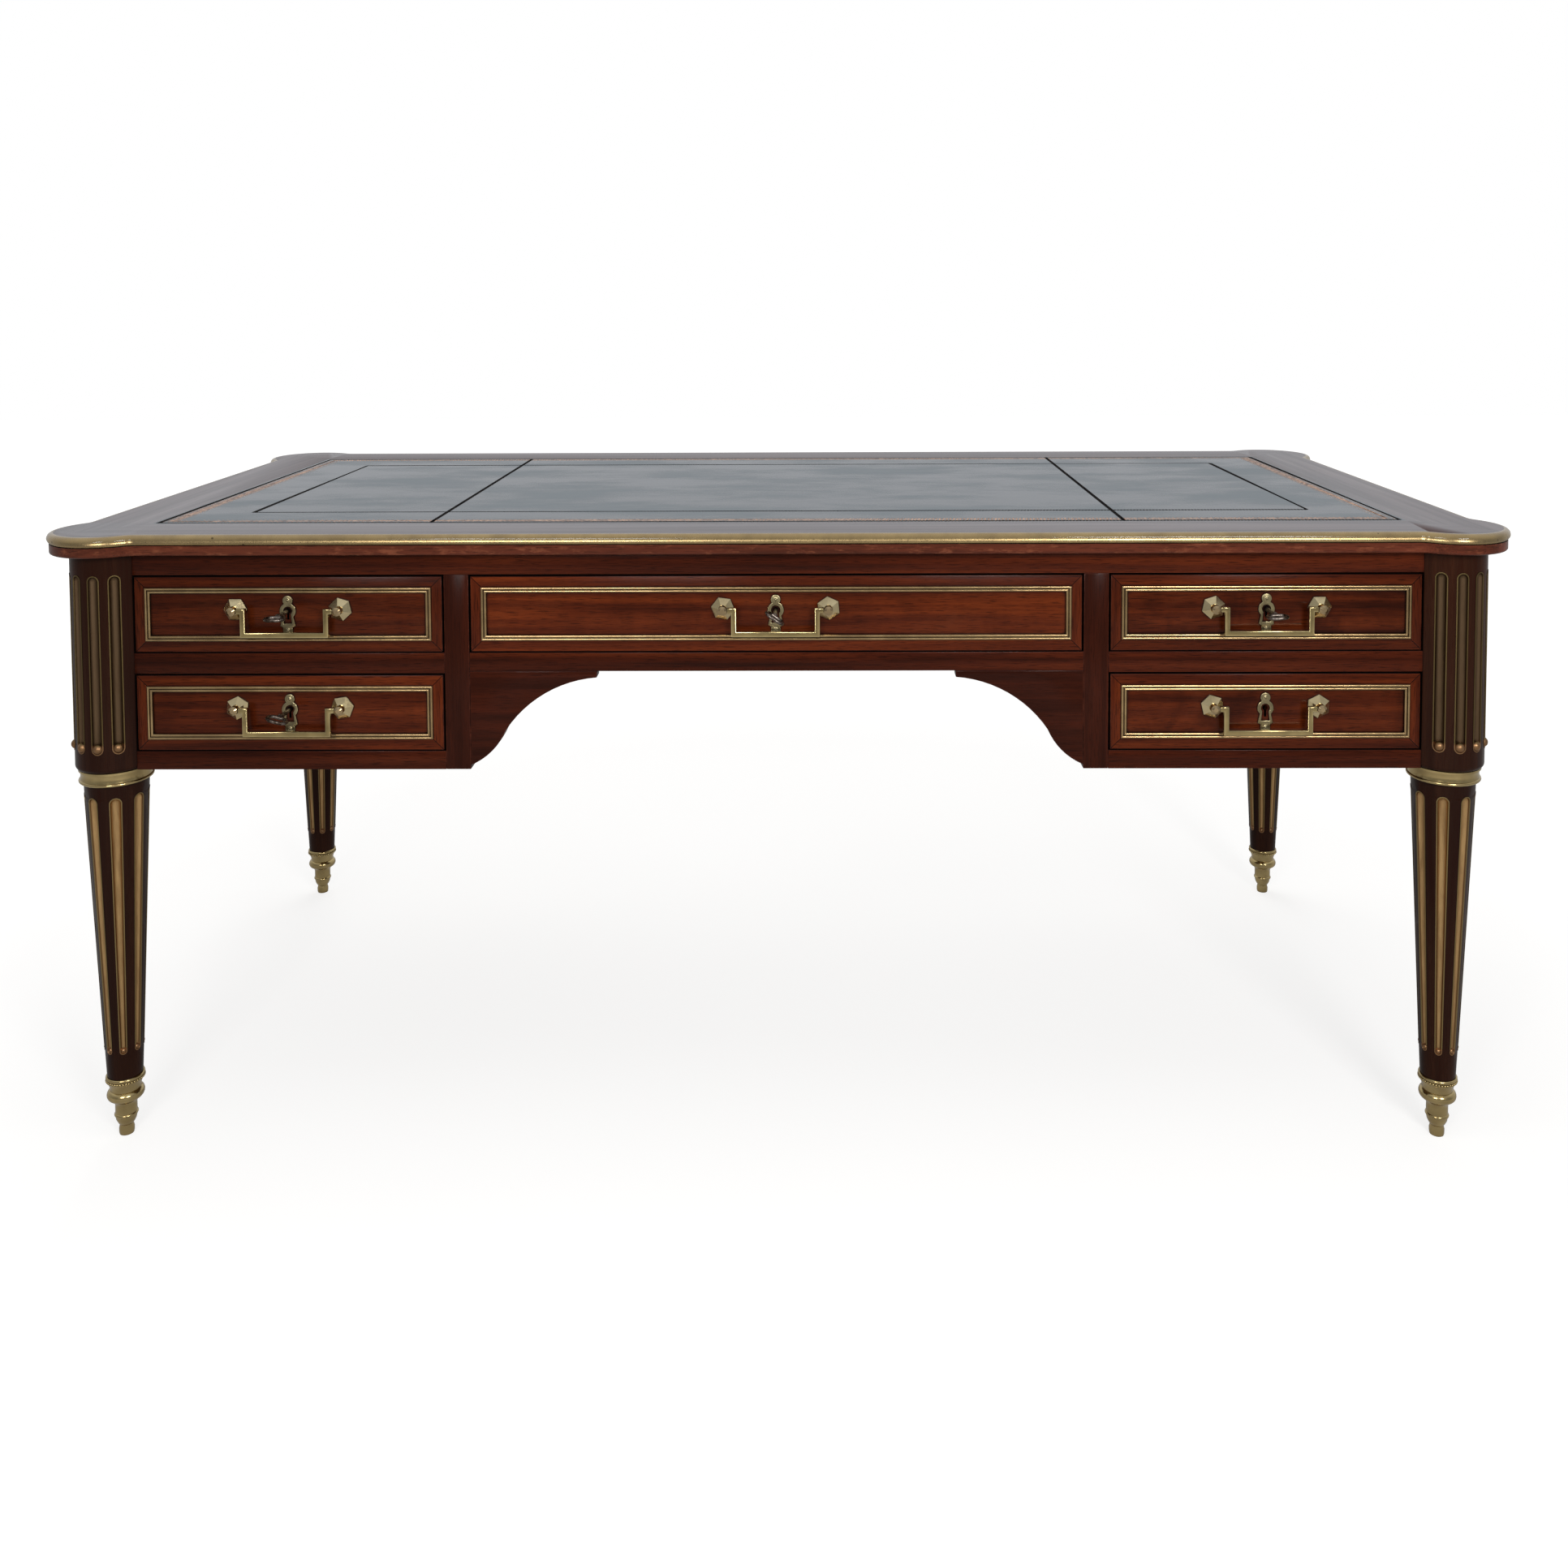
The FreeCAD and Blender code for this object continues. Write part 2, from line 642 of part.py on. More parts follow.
def front_rails():
    """Top rail, centre rail, and the dividing and bottom rails of the two drawer banks."""
    bank_middle = (STILE_X + JOINT_X) / 2
    top = block(-JOINT_X, JOINT_X, FRONT_Y, RAIL_Y, UPPER_TOP, UNDERSIDE)
    top = top.cut([mortise(middle, UPPER_TOP) for middle in (-bank_middle, 0.0, bank_middle)])
    centre = block(-CENTRE_HALF, CENTRE_HALF, FRONT_Y, RAIL_Y, CENTRE_FOOT, UPPER_FOOT)
    divider = block(STILE_X, JOINT_X, FRONT_Y, RAIL_Y, LOWER_TOP, UPPER_FOOT)
    divider = divider.cut(mortise(bank_middle, LOWER_TOP))
    bottom = block(STILE_X, JOINT_X, FRONT_Y, RAIL_Y, APRON_FOOT, LOWER_FOOT)
    return [top, centre] + both_sides([divider, bottom])


def stiles():
    """Uprights either side of the kneehole."""
    return both_sides([block(CENTRE_HALF, STILE_X, FRONT_Y, RAIL_Y, APRON_FOOT, UPPER_TOP)])


def end_panels():
    """Boards that close the two ends between the posts."""
    return both_sides([block(END_IN_X, END_X, -JOINT_Y, JOINT_Y, APRON_FOOT, UNDERSIDE)])


def back_panels():
    """Boards that close the back, with the kneehole left open below the middle one."""
    middle = block(-CENTRE_HALF, CENTRE_HALF, BACK_IN_Y, BACK_Y, CENTRE_FOOT, UNDERSIDE)
    side = block(CENTRE_HALF, JOINT_X, BACK_IN_Y, BACK_Y, APRON_FOOT, UNDERSIDE)
    return [middle] + both_sides([side])


def pedestal_sides():
    """Boards along the kneehole that carry the inner runners."""
    return both_sides([block(CENTRE_HALF, PEDESTAL_X, RAIL_Y, BACK_IN_Y, APRON_FOOT, UNDERSIDE)])


def pedestal_bottoms():
    """Thin boards that close each drawer bank from below."""
    head = LOWER_FOOT - RUNNER_H
    foot = head - PEDESTAL_BOTTOM_THICK
    between = block(PEDESTAL_X, JOINT_X, RAIL_Y, BACK_IN_Y, foot, head)
    beside = block(JOINT_X, END_IN_X, -JOINT_Y, JOINT_Y, foot, head)
    return both_sides([between.fuse(beside).removeSplitter()])


def drawer_runners():
    """Strips that each drawer slides on, and the guides beside them."""
    strips = [block(CENTRE_HALF - RUNNER_W, CENTRE_HALF, RAIL_Y, BACK_IN_Y, UPPER_FOOT - RUNNER_H, UPPER_FOOT)]
    for level in (UPPER_FOOT, LOWER_FOOT):
        foot = level - RUNNER_H
        guide_head = level + GUIDE_H
        strips.append(block(STILE_X, STILE_X + RUNNER_W, RAIL_Y, BACK_IN_Y, foot, level))
        strips.append(block(JOINT_X - RUNNER_W, JOINT_X, RAIL_Y, BACK_IN_Y, foot, level))
        strips.append(block(PEDESTAL_X, STILE_X, RAIL_Y, BACK_IN_Y, foot, guide_head))
        strips.append(block(JOINT_X, END_IN_X, -JOINT_Y, JOINT_Y, foot, guide_head))
    return both_sides(strips)


def knee_bracket():
    """Shaped bracket in the front right corner of the kneehole, flush with the rails."""
    stile = CENTRE_HALF
    tip = CENTRE_HALF - BRACKET_REACH
    knee = Vector(CENTRE_HALF - BRACKET_KNEE_REACH, FRONT_Y, CENTRE_FOOT - BRACKET_KNEE_DROP)
    step = Vector(tip, FRONT_Y, CENTRE_FOOT - BRACKET_STEP)
    toe = Vector(stile, FRONT_Y, CENTRE_FOOT - BRACKET_DROP)
    head_tip = Vector(tip, FRONT_Y, CENTRE_FOOT)
    head_stile = Vector(stile, FRONT_Y, CENTRE_FOOT)
    edges = [
        line(head_stile, head_tip),
        line(head_tip, step),
        arc(step, sagged(step, knee, BRACKET_ARCH_SAG), knee),
        arc(knee, sagged(knee, toe, -BRACKET_TOE_SAG), toe),
        line(toe, head_stile),
    ]
    return prism(edges, Vector(0, BRACKET_THICK, 0))


def sagged(start, end, sag):
    """Middle of an arc between two points of the front, bowed up and out by its sag."""
    along = (end - start).normalize()
    across = Vector(-along.z, 0, along.x)
    return (start + end) * 0.5 + across * sag


def knee_brackets():
    """Brackets at the front and the back of the kneehole."""
    right = knee_bracket()
    back_right = right.mirror(Vector(), Vector(0, 1, 0))
    return both_sides([right, back_right])


def reed_section():
    """Section of the reeded brass strip, in the YZ plane, standing off towards -Y."""
    reed_w = (FRAME_W - FRAME_QUIRK) / 2
    crest = -(FRAME_BED + FRAME_REED)
    second = reed_w + FRAME_QUIRK
    heel = Vector(0, 0, 0)
    first_start = Vector(0, -FRAME_BED, 0)
    first_end = Vector(0, -FRAME_BED, reed_w)
    second_start = Vector(0, -FRAME_BED, second)
    second_end = Vector(0, -FRAME_BED, FRAME_W)
    toe = Vector(0, 0, FRAME_W)
    return [
        line(heel, first_start),
        arc(first_start, Vector(0, crest, reed_w / 2), first_end),
        line(first_end, second_start),
        arc(second_start, Vector(0, crest, second + reed_w / 2), second_end),
        line(second_end, toe),
        line(toe, heel),
    ]


def mitred_strip(span):
    """Reeded strip along X, with both ends mitred."""
    strip = prism(reed_section(), Vector(span, 0, 0))
    reach = FRAME_BED + FRAME_REED + CUT_PAST
    ends = [
        Vector(0, -reach, 0),
        Vector(span, -reach, 0),
        Vector(span - FRAME_W, -reach, FRAME_W),
        Vector(FRAME_W, -reach, FRAME_W),
    ]
    return strip.common(polygon(ends, Vector(0, reach + CUT_PAST, 0)))


def brass_frame(width, height):
    """Four mitred strips round a rectangle in the XZ plane, with its lower left corner at the origin."""
    turns = [
        (width, 0, Vector(0, 0, 0)),
        (height, 90, Vector(width, 0, 0)),
        (width, 180, Vector(width, 0, height)),
        (height, 270, Vector(0, 0, height)),
    ]
    strips = []
    for span, turn, corner in turns:
        strip = mitred_strip(span)
        strip.rotate(Vector(), Vector(0, -1, 0), turn)
        strips.append(strip.translated(corner))
    return strips


def panel_frame(x0, x1, z0, z1, face_y):
    """Brass frame inset from the edges of an upright panel that faces -Y."""
    strips = brass_frame(x1 - x0 - 2 * FRAME_INSET, z1 - z0 - 2 * FRAME_INSET)
    corner = Vector(x0 + FRAME_INSET, face_y, z0 + FRAME_INSET)
    return [strip.translated(corner) for strip in strips]


def panel_mouldings():
    """Brass frames on the back, set out like the drawers, and on the two ends."""
    fronts = [panel_frame(*opening, FRONT_Y) for opening in DRAWERS.values()]
    back = [flipped_y(strip) for frame in fronts for strip in frame]
    end = panel_frame(-JOINT_Y, JOINT_Y, LOWER_FOOT, UPPER_TOP, -END_X)
    right = [strip.rotated(Vector(), AXIS_Z, 90) for strip in end]
    return back + both_sides(right)


def key_height(z0, z1):
    """Height of the key's axis in a drawer between two levels."""
    return (z0 + z1) / 2 + HANDLE_RISE - KEY_DROP


def keyhole(middle, key_z, y0, y1):
    """Cutter for a round keyhole with a slot below it."""
    eye = rod(KEYHOLE_R, Vector(middle, y0, key_z), Vector(middle, y1, key_z))
    half = KEYHOLE_SLOT_W / 2
    slot = block(middle - half, middle + half, y0, y1, key_z - KEYHOLE_SLOT_DROP, key_z)
    return eye.fuse(slot)


def drawer_front(x0, x1, z0, z1):
    """Drawer front with its keyhole, the pocket for its lock and the holes of its handle studs."""
    middle = (x0 + x1) / 2
    key_z = key_height(z0, z1)
    stud_z = (z0 + z1) / 2 + HANDLE_RISE
    head = z1 - DRAWER_GAP
    back = FRONT_Y + FRONT_THICK
    board = block(x0 + DRAWER_GAP, x1 - DRAWER_GAP, FRONT_Y, back, z0 + FRONT_FOOT_GAP, head)
    half = LOCK_W / 2
    pocket = block(
        middle - half,
        middle + half,
        back - LOCK_THICK,
        back + CUT_PAST,
        key_z - LOCK_BELOW_KEY,
        head + CUT_PAST,
    )
    cuts = [pocket, keyhole(middle, key_z, FRONT_Y - CUT_PAST, back)]
    for sign in (-1, 1):
        stud_x = middle + sign * ROSETTE_X
        start = Vector(stud_x, FRONT_Y - CUT_PAST, stud_z)
        cuts.append(rod(STUD_SHANK_R, start, Vector(stud_x, back + CUT_PAST, stud_z)))
    return board.cut(cuts)


def drawer_box(x0, x1, z0, z1):
    """Two sides, a back and a bottom board behind a drawer front."""
    start = FRONT_Y + FRONT_THICK
    end = FRONT_Y + DRAWER_DEPTH
    foot = z0 + RUN_GAP
    head = z1 - BOX_DROP
    left = x0 + BOX_SIDE_GAP
    right = x1 - BOX_SIDE_GAP
    floor = foot + BOX_BOTTOM_RISE
    floor_head = floor + BOX_BOTTOM_THICK
    return [
        block(left, left + BOX_WALL, start, end, foot, head),
        block(right - BOX_WALL, right, start, end, foot, head),
        block(left + BOX_WALL, right - BOX_WALL, end - BOX_WALL, end, floor_head, head - BOX_BACK_DROP),
        block(left + BOX_WALL, right - BOX_WALL, start, end, floor, floor_head),
    ]


def front_moulding(x0, x1, z0, z1):
    """Brass frame on a drawer front."""
    return panel_frame(x0, x1, z0, z1, FRONT_Y)


def hexagon(radius, y):
    """Outline of a rosette facing along Y."""
    points = []
    for side in range(ROSETTE_SIDES):
        angle = 2 * math.pi * side / ROSETTE_SIDES
        points.append(Vector(radius * math.cos(angle), y, radius * math.sin(angle)))
    return Part.makePolygon(points + points[:1])


def rosette(turn, pin_side):
    """Faceted rosette with its stud, cross-bored on one side for the bail's pin, about the stud's axis."""
    rim_y = -ROSETTE_RIM
    tip_y = rim_y - ROSETTE_H
    pivot_y = tip_y - STUD_STAND
    rim = Part.Face(hexagon(ROSETTE_R, 0.0)).extrude(Vector(0, rim_y, 0))
    facets = Part.makeLoft([hexagon(ROSETTE_R, rim_y), hexagon(ROSETTE_TIP_R, tip_y)], True, True)
    plate = rim.fuse(facets).removeSplitter()
    plate.rotate(Vector(), Vector(0, 1, 0), turn)
    stud_end = pivot_y - STUD_NOSE
    stud = rod(STUD_R, Vector(0, rim_y, 0), Vector(0, stud_end, 0))
    crown = Part.makeCone(STUD_R, STUD_R / 2, STUD_CROWN, Vector(0, stud_end, 0), Vector(0, -1, 0))
    nut_y = FRONT_THICK + STUD_NUT_H
    shank = rod(STUD_SHANK_R, Vector(0, 0, 0), Vector(0, nut_y, 0))
    nut = rod(STUD_NUT_R, Vector(0, FRONT_THICK, 0), Vector(0, nut_y, 0))
    bore_end = STUD_R - BAIL_PIN_BITE - BAIL_PIN_END_GAP
    bore = rod(
        BAIL_PIN_R + BAIL_PIN_CLEAR,
        Vector(pin_side * (STUD_R + CUT_PAST), pivot_y, 0),
        Vector(pin_side * bore_end, pivot_y, 0),
    )
    return plate.fuse([stud, crown, shank, nut]).removeSplitter().cut(bore)


def rosettes(x0, x1, z0, z1, index):
    """Pair of rosettes of one handle, each turned as it happened to be tightened."""
    middle = (x0 + x1) / 2
    stud_z = (z0 + z1) / 2 + HANDLE_RISE
    left = rosette(ROSETTE_TURN * 2 * index, 1)
    right = rosette(ROSETTE_TURN * (2 * index + 1), -1)
    return [
        left.translated(Vector(middle - ROSETTE_X, FRONT_Y, stud_z)),
        right.translated(Vector(middle + ROSETTE_X, FRONT_Y, stud_z)),
    ]


def bail(x0, x1, z0, z1):
    """Square-rod handle with its ends turned out into the studs."""
    middle = (x0 + x1) / 2
    stud_z = (z0 + z1) / 2 + HANDLE_RISE
    stub_x = ROSETTE_X - STUD_R - BAIL_STUB_GAP
    pin_x = ROSETTE_X - STUD_R + BAIL_PIN_BITE
    path = Part.makePolygon([
        Vector(-stub_x, 0, 0),
        Vector(-BAIL_ARM_X, 0, 0),
        Vector(-BAIL_ARM_X, 0, -BAIL_DROP),
        Vector(BAIL_ARM_X, 0, -BAIL_DROP),
        Vector(BAIL_ARM_X, 0, 0),
        Vector(stub_x, 0, 0),
    ])
    half = BAIL_ROD / 2
    flat = half - BAIL_EDGE
    corners = [(half, flat), (flat, half), (-flat, half), (-half, flat)]
    corners = corners + [(-y, -z) for y, z in corners]
    section = Part.makePolygon([Vector(-stub_x, y, z) for y, z in corners + corners[:1]])
    grip = path.makePipeShell([section], True, False, 1)
    pins = []
    for sign in (-1, 1):
        pins.append(rod(BAIL_PIN_R, Vector(sign * BAIL_ARM_X, 0, 0), Vector(sign * pin_x, 0, 0)))
    return grip.fuse(pins).removeSplitter().translated(Vector(middle, PIVOT_Y, stud_z))


def lock_case(middle, z0, z1):
    """Hollow lock let into the back of a drawer front, open on top for its bolt."""
    key_z = key_height(z0, z1)
    head = z1 - DRAWER_GAP
    foot = key_z - LOCK_BELOW_KEY
    back = FRONT_Y + FRONT_THICK
    front = back - LOCK_THICK
    half = LOCK_W / 2
    case = block(middle - half, middle + half, front, back, foot, head)
    inner = half - LOCK_WALL
    hollow = block(
        middle - inner, middle + inner, front + LOCK_WALL, back - LOCK_WALL, foot + LOCK_WALL, head - LOCK_WALL
    )
    slot_x = BOLT_W / 2 + BOLT_CLEAR
    slot_y = BOLT_THICK / 2 + BOLT_CLEAR
    slot = block(
        middle - slot_x, middle + slot_x, bolt_y() - slot_y, bolt_y() + slot_y, key_z, head + CUT_PAST
    )
    hole = keyhole(middle, key_z, front - CUT_PAST, front + LOCK_WALL)
    return case.cut([hollow, slot, hole])


def keyhole_plate(middle, key_z):
    """Brass plate round a keyhole: a ring between two pinned lobes, with a flared skirt below."""
    front = FRONT_Y - PLATE_THICK

    def disc(radius, rise):
        return rod(radius, Vector(middle, FRONT_Y, key_z + rise), Vector(middle, front, key_z + rise))

    half_ring = PLATE_RING_R / 2
    skirt = polygon(
        [
            Vector(middle - half_ring, FRONT_Y, key_z),
            Vector(middle + half_ring, FRONT_Y, key_z),
            Vector(middle + PLATE_SKIRT_HALF, FRONT_Y, key_z - PLATE_SKIRT_DROP),
            Vector(middle, FRONT_Y, key_z - PLATE_FOOT_LOBE_DROP),
            Vector(middle - PLATE_SKIRT_HALF, FRONT_Y, key_z - PLATE_SKIRT_DROP),
        ],
        Vector(0, -PLATE_THICK, 0),
    )
    lobes = [disc(PLATE_LOBE_R, PLATE_TOP_LOBE_RISE), disc(PLATE_LOBE_R, -PLATE_FOOT_LOBE_DROP)]
    plate = disc(PLATE_RING_R, 0).fuse(lobes + [skirt]).removeSplitter()
    pins = []
    for rise in (PLATE_TOP_LOBE_RISE, -PLATE_FOOT_LOBE_DROP):
        foot = Vector(middle, front, key_z + rise)
        pins.append(Part.makeCone(PLATE_PIN_R, PLATE_PIN_R / 2, PLATE_PIN_H, foot, Vector(0, -1, 0)))
    return plate.fuse(pins).cut(plate_opening(middle, key_z, front - CUT_PAST, FRONT_Y + CUT_PAST))


def plate_opening(middle, key_z, y0, y1):
    """Cutter for a plate's opening: a round eye over a slot that widens to its foot."""
    eye = rod(PLATE_EYE_R, Vector(middle, y0, key_z), Vector(middle, y1, key_z))
    foot_z = key_z - PLATE_SLOT_DROP
    slot = polygon(
        [
            Vector(middle - PLATE_SLOT_HEAD_HALF, y0, key_z),
            Vector(middle + PLATE_SLOT_HEAD_HALF, y0, key_z),
            Vector(middle + PLATE_SLOT_FOOT_HALF, y0, foot_z),
            Vector(middle - PLATE_SLOT_FOOT_HALF, y0, foot_z),
        ],
        Vector(0, y1 - y0, 0),
    )
    return eye.fuse(slot)


def lock(x0, x1, z0, z1):
    """Lock case and keyhole plate of one drawer."""
    middle = (x0 + x1) / 2
    return [lock_case(middle, z0, z1), keyhole_plate(middle, key_height(z0, z1))]


def lock_bolt(x0, x1, z0, z1):
    """Bolt that the key lifts out of the lock, drawn back at rest."""
    middle = (x0 + x1) / 2
    foot = key_height(z0, z1) + BOLT_LIFT_OFF
    half_x = BOLT_W / 2
    half_y = BOLT_THICK / 2
    return block(middle - half_x, middle + half_x, bolt_y() - half_y, bolt_y() + half_y, foot, z1 - DRAWER_GAP)


def key_bow():
    """Oval ring of round wire in the XY plane, about the origin."""
    straight = KEY_BOW_HALF_W - KEY_BOW_HALF_L
    right = Vector(straight, 0, 0)
    left = Vector(-straight, 0, 0)
    side = Vector(KEY_BOW_HALF_L, 0, 0)
    head = Vector(0, KEY_BOW_HALF_L, 0)
    path = Part.Wire([
        line(left - head, right - head),
        arc(right - head, right + side, right + head),
        line(right + head, left + head),
        arc(left + head, left - side, left - head),
    ])
    section = Part.Wire(Part.Circle(left - head, Vector(1, 0, 0), KEY_BOW_WIRE_R).toShape())
    return path.makePipeShell([section], True, False)


def key(x0, x1, z0, z1, tilt):
    """Key in the lock, with its bow and bit lying at the tilt it was left at."""
    middle = (x0 + x1) / 2
    case_back = FRONT_THICK - LOCK_WALL
    bit_start = FRONT_THICK - LOCK_THICK + LOCK_WALL + KEY_BIT_CLEAR
    bit_end = case_back - KEY_BIT_CLEAR
    shank = rod(KEY_SHANK_R, Vector(0, -KEY_STAND, 0), Vector(0, bit_end, 0))
    bit = block(0, KEY_BIT_REACH, bit_start, bit_end, -KEY_BIT_THICK / 2, KEY_BIT_THICK / 2)
    collar_y = -KEY_STAND + KEY_BOW_WIRE_R
    collar = rod(KEY_COLLAR_R, Vector(0, collar_y, 0), Vector(0, collar_y + KEY_COLLAR_H, 0))
    bow = key_bow().translated(Vector(0, -KEY_STAND - KEY_BOW_HALF_L, 0))
    whole = shank.fuse([bit, collar, bow]).removeSplitter()
    whole.rotate(Vector(), Vector(0, -1, 0), tilt)
    return whole.translated(Vector(middle, FRONT_Y, key_height(z0, z1)))


DRAWERS = {
    "upper_left": (-JOINT_X, -STILE_X, UPPER_FOOT, UPPER_TOP),
    "lower_left": (-JOINT_X, -STILE_X, LOWER_FOOT, LOWER_TOP),
    "centre": (-CENTRE_HALF, CENTRE_HALF, UPPER_FOOT, UPPER_TOP),
    "upper_right": (STILE_X, JOINT_X, UPPER_FOOT, UPPER_TOP),
    "lower_right": (STILE_X, JOINT_X, LOWER_FOOT, LOWER_TOP),
}


def save_carcass():
    """Write the fixed pieces of the desk."""
    save("top_board", [top_board()])
    save("writing_leather", [writing_leather()])
    save("edge_lengths", edge_lengths())
    save("edge_ears", four_corners(edge_ear()))
    corners = ["leg_back_right", "leg_front_right", "leg_back_left", "leg_front_left"]
    for node, solid in zip(corners, four_corners(leg())):
        save(node, [solid])
    save("leg_collars", four_corners(leg_collar()))
    save("leg_sabots", four_corners(leg_sabot()))
    save("post_flute_linings", [copy for lining in post_linings() for copy in four_corners(lining)])
    save("leg_flute_linings", [copy for lining in leg_linings() for copy in four_corners(lining)])
    save("front_rails", front_rails())
    save("stiles", stiles())
    save("end_panels", end_panels())
    save("back_panels", back_panels())
    save("panel_mouldings", panel_mouldings())
    save("pedestal_sides", pedestal_sides())
    save("pedestal_bottoms", pedestal_bottoms())
    save("drawer_runners", drawer_runners())
    save("knee_brackets", knee_brackets())


def save_drawers():
    """Write the pieces of each drawer."""
    for index, (name, opening) in enumerate(DRAWERS.items()):
        save(name + "_drawer_front", [drawer_front(*opening)])
        save(name + "_drawer_box", drawer_box(*opening))
        save(name + "_front_moulding", front_moulding(*opening))
        save(name + "_rosettes", rosettes(*opening, index))
        save(name + "_bail", [bail(*opening)])
        save(name + "_lock", lock(*opening))
        save(name + "_lock_bolt", [lock_bolt(*opening)])
        if name in KEY_TILT:
            save(name + "_key", [key(*opening, KEY_TILT[name])])


os.makedirs("parts", exist_ok=True)
save_carcass()
save_drawers()
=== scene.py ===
"""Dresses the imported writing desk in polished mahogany, aged brass and tooled leather, in a plain studio."""

import json
import math

import bmesh
import bpy
from mathutils import Matrix, Vector

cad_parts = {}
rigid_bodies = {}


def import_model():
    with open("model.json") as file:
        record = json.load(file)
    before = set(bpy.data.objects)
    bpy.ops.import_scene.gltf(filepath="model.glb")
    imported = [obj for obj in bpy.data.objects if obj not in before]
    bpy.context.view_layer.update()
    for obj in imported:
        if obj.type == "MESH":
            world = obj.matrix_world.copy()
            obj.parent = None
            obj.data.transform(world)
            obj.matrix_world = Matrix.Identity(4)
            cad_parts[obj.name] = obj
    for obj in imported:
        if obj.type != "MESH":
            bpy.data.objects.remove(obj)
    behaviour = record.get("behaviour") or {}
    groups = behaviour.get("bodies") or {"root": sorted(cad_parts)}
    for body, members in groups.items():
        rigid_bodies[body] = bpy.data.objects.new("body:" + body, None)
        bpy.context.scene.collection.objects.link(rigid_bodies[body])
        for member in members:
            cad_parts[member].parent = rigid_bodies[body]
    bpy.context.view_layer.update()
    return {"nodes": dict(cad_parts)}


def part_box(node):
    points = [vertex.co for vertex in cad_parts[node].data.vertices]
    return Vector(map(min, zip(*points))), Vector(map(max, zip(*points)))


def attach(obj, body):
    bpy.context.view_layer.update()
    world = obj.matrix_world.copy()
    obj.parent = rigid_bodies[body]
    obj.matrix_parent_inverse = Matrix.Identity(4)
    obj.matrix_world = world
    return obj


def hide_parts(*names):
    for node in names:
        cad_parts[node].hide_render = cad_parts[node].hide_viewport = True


for leftover in list(bpy.data.objects):
    bpy.data.objects.remove(leftover)
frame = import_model()

bl_info = {
    "name": "Writing desk finish",
    "version": (1, 0, 0),
    "blender": (4, 5, 0),
    "location": "3D View > Sidebar > Desk",
    "description": "Dresses a mahogany writing desk with brass mounts and a leather top",
    "category": "Object",
}

MM = 0.001
DRAWERS = ("upper_left", "lower_left", "centre", "upper_right", "lower_right")
LEGS = ("leg_front_left", "leg_front_right", "leg_back_left", "leg_back_right")

# What the top shows: its board, and what is stamped on its leather
TOP_PIECES = ("top_board_worn", "gilt_border_stamps", "gilt_border_fillets", "burnt_rope_lines")

# Places on the desk, in metres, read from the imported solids
TOP_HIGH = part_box("top_board")[1]
LEATHER_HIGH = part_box("writing_leather")[1]
CUP_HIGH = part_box("leg_sabots")[1]
COLLAR_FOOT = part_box("leg_collars")[0].z
FACE_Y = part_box("upper_left_drawer_front")[0].y

# Radii of the turned parts, as the solids have them
CUP_RIM_R = 22.8 * MM
POST_R = 46.0 * MM
SHAFT_TOP_R = 37.5 * MM
SHAFT_FOOT_R = 20.8 * MM
LEG_X = CUP_HIGH.x - CUP_RIM_R
LEG_Y = CUP_HIGH.y - CUP_RIM_R

# Widths of the mitred borders, the reach of the dark line in a mitre, and the shortest edges rounded by wear
TOP_BORDER = 120.0 * MM
DRAWER_BORDER = 18.5 * MM
MITRE_GAP = 0.55 * MM
BOARD_EDGE = 12.0 * MM
BRACKET_EDGE = 0.3 * MM

# Tops of the flutes' pearls above the foot of their linings
POST_PEARL = 11.0 * MM
LEG_PEARL = 8.0 * MM

# How far in front of the drawers a stud's colour starts to change, and where it has changed
STUD_BASE = 9.0 * MM
STUD_NOSE = 10.5 * MM

# Rounding of the small brass, and the shortest edges of it that are rounded
BRASS_WEAR = 0.7 * MM
ROD_EDGE = 3.0 * MM
PLATE_EDGE = 0.2 * MM

# The pearls' middles below the rim of a foot cup
PEARL_DROP = 5.6 * MM

# Tooling of the leather: its lines from the edge, the gilt band or the middle, and a stamp's thickness
ROPE_INSET = 5.5 * MM
FILLET_STEP = 7.6 * MM
PANEL_X, PANEL_Y = 690.0 * MM, 239.0 * MM
CROSS_LINE_X = 435.0 * MM
STAMP_THICK = 0.12 * MM

# Turns that bring a board's grain to the X axis
GRAIN_TURN = {
    "X": (0.0, 0.0, 0.0),
    "Y": (0.0, 0.0, math.pi / 2),
    "Z": (0.0, math.pi / 2, 0.0),
}


def linear(code):
    """An sRGB hex colour as linear red, green, blue and alpha."""
    parts = [int(code[i:i + 2], 16) / 255 for i in (0, 2, 4)]
    return (*(p / 12.92 if p <= 0.04045 else ((p + 0.055) / 1.055) ** 2.4 for p in parts), 1.0)


def hue(name, description, code):
    """A colour property with a hex default."""
    return bpy.props.FloatVectorProperty(
        name=name, description=description, subtype="COLOR", size=4, min=0.0, max=1.0, default=linear(code)
    )


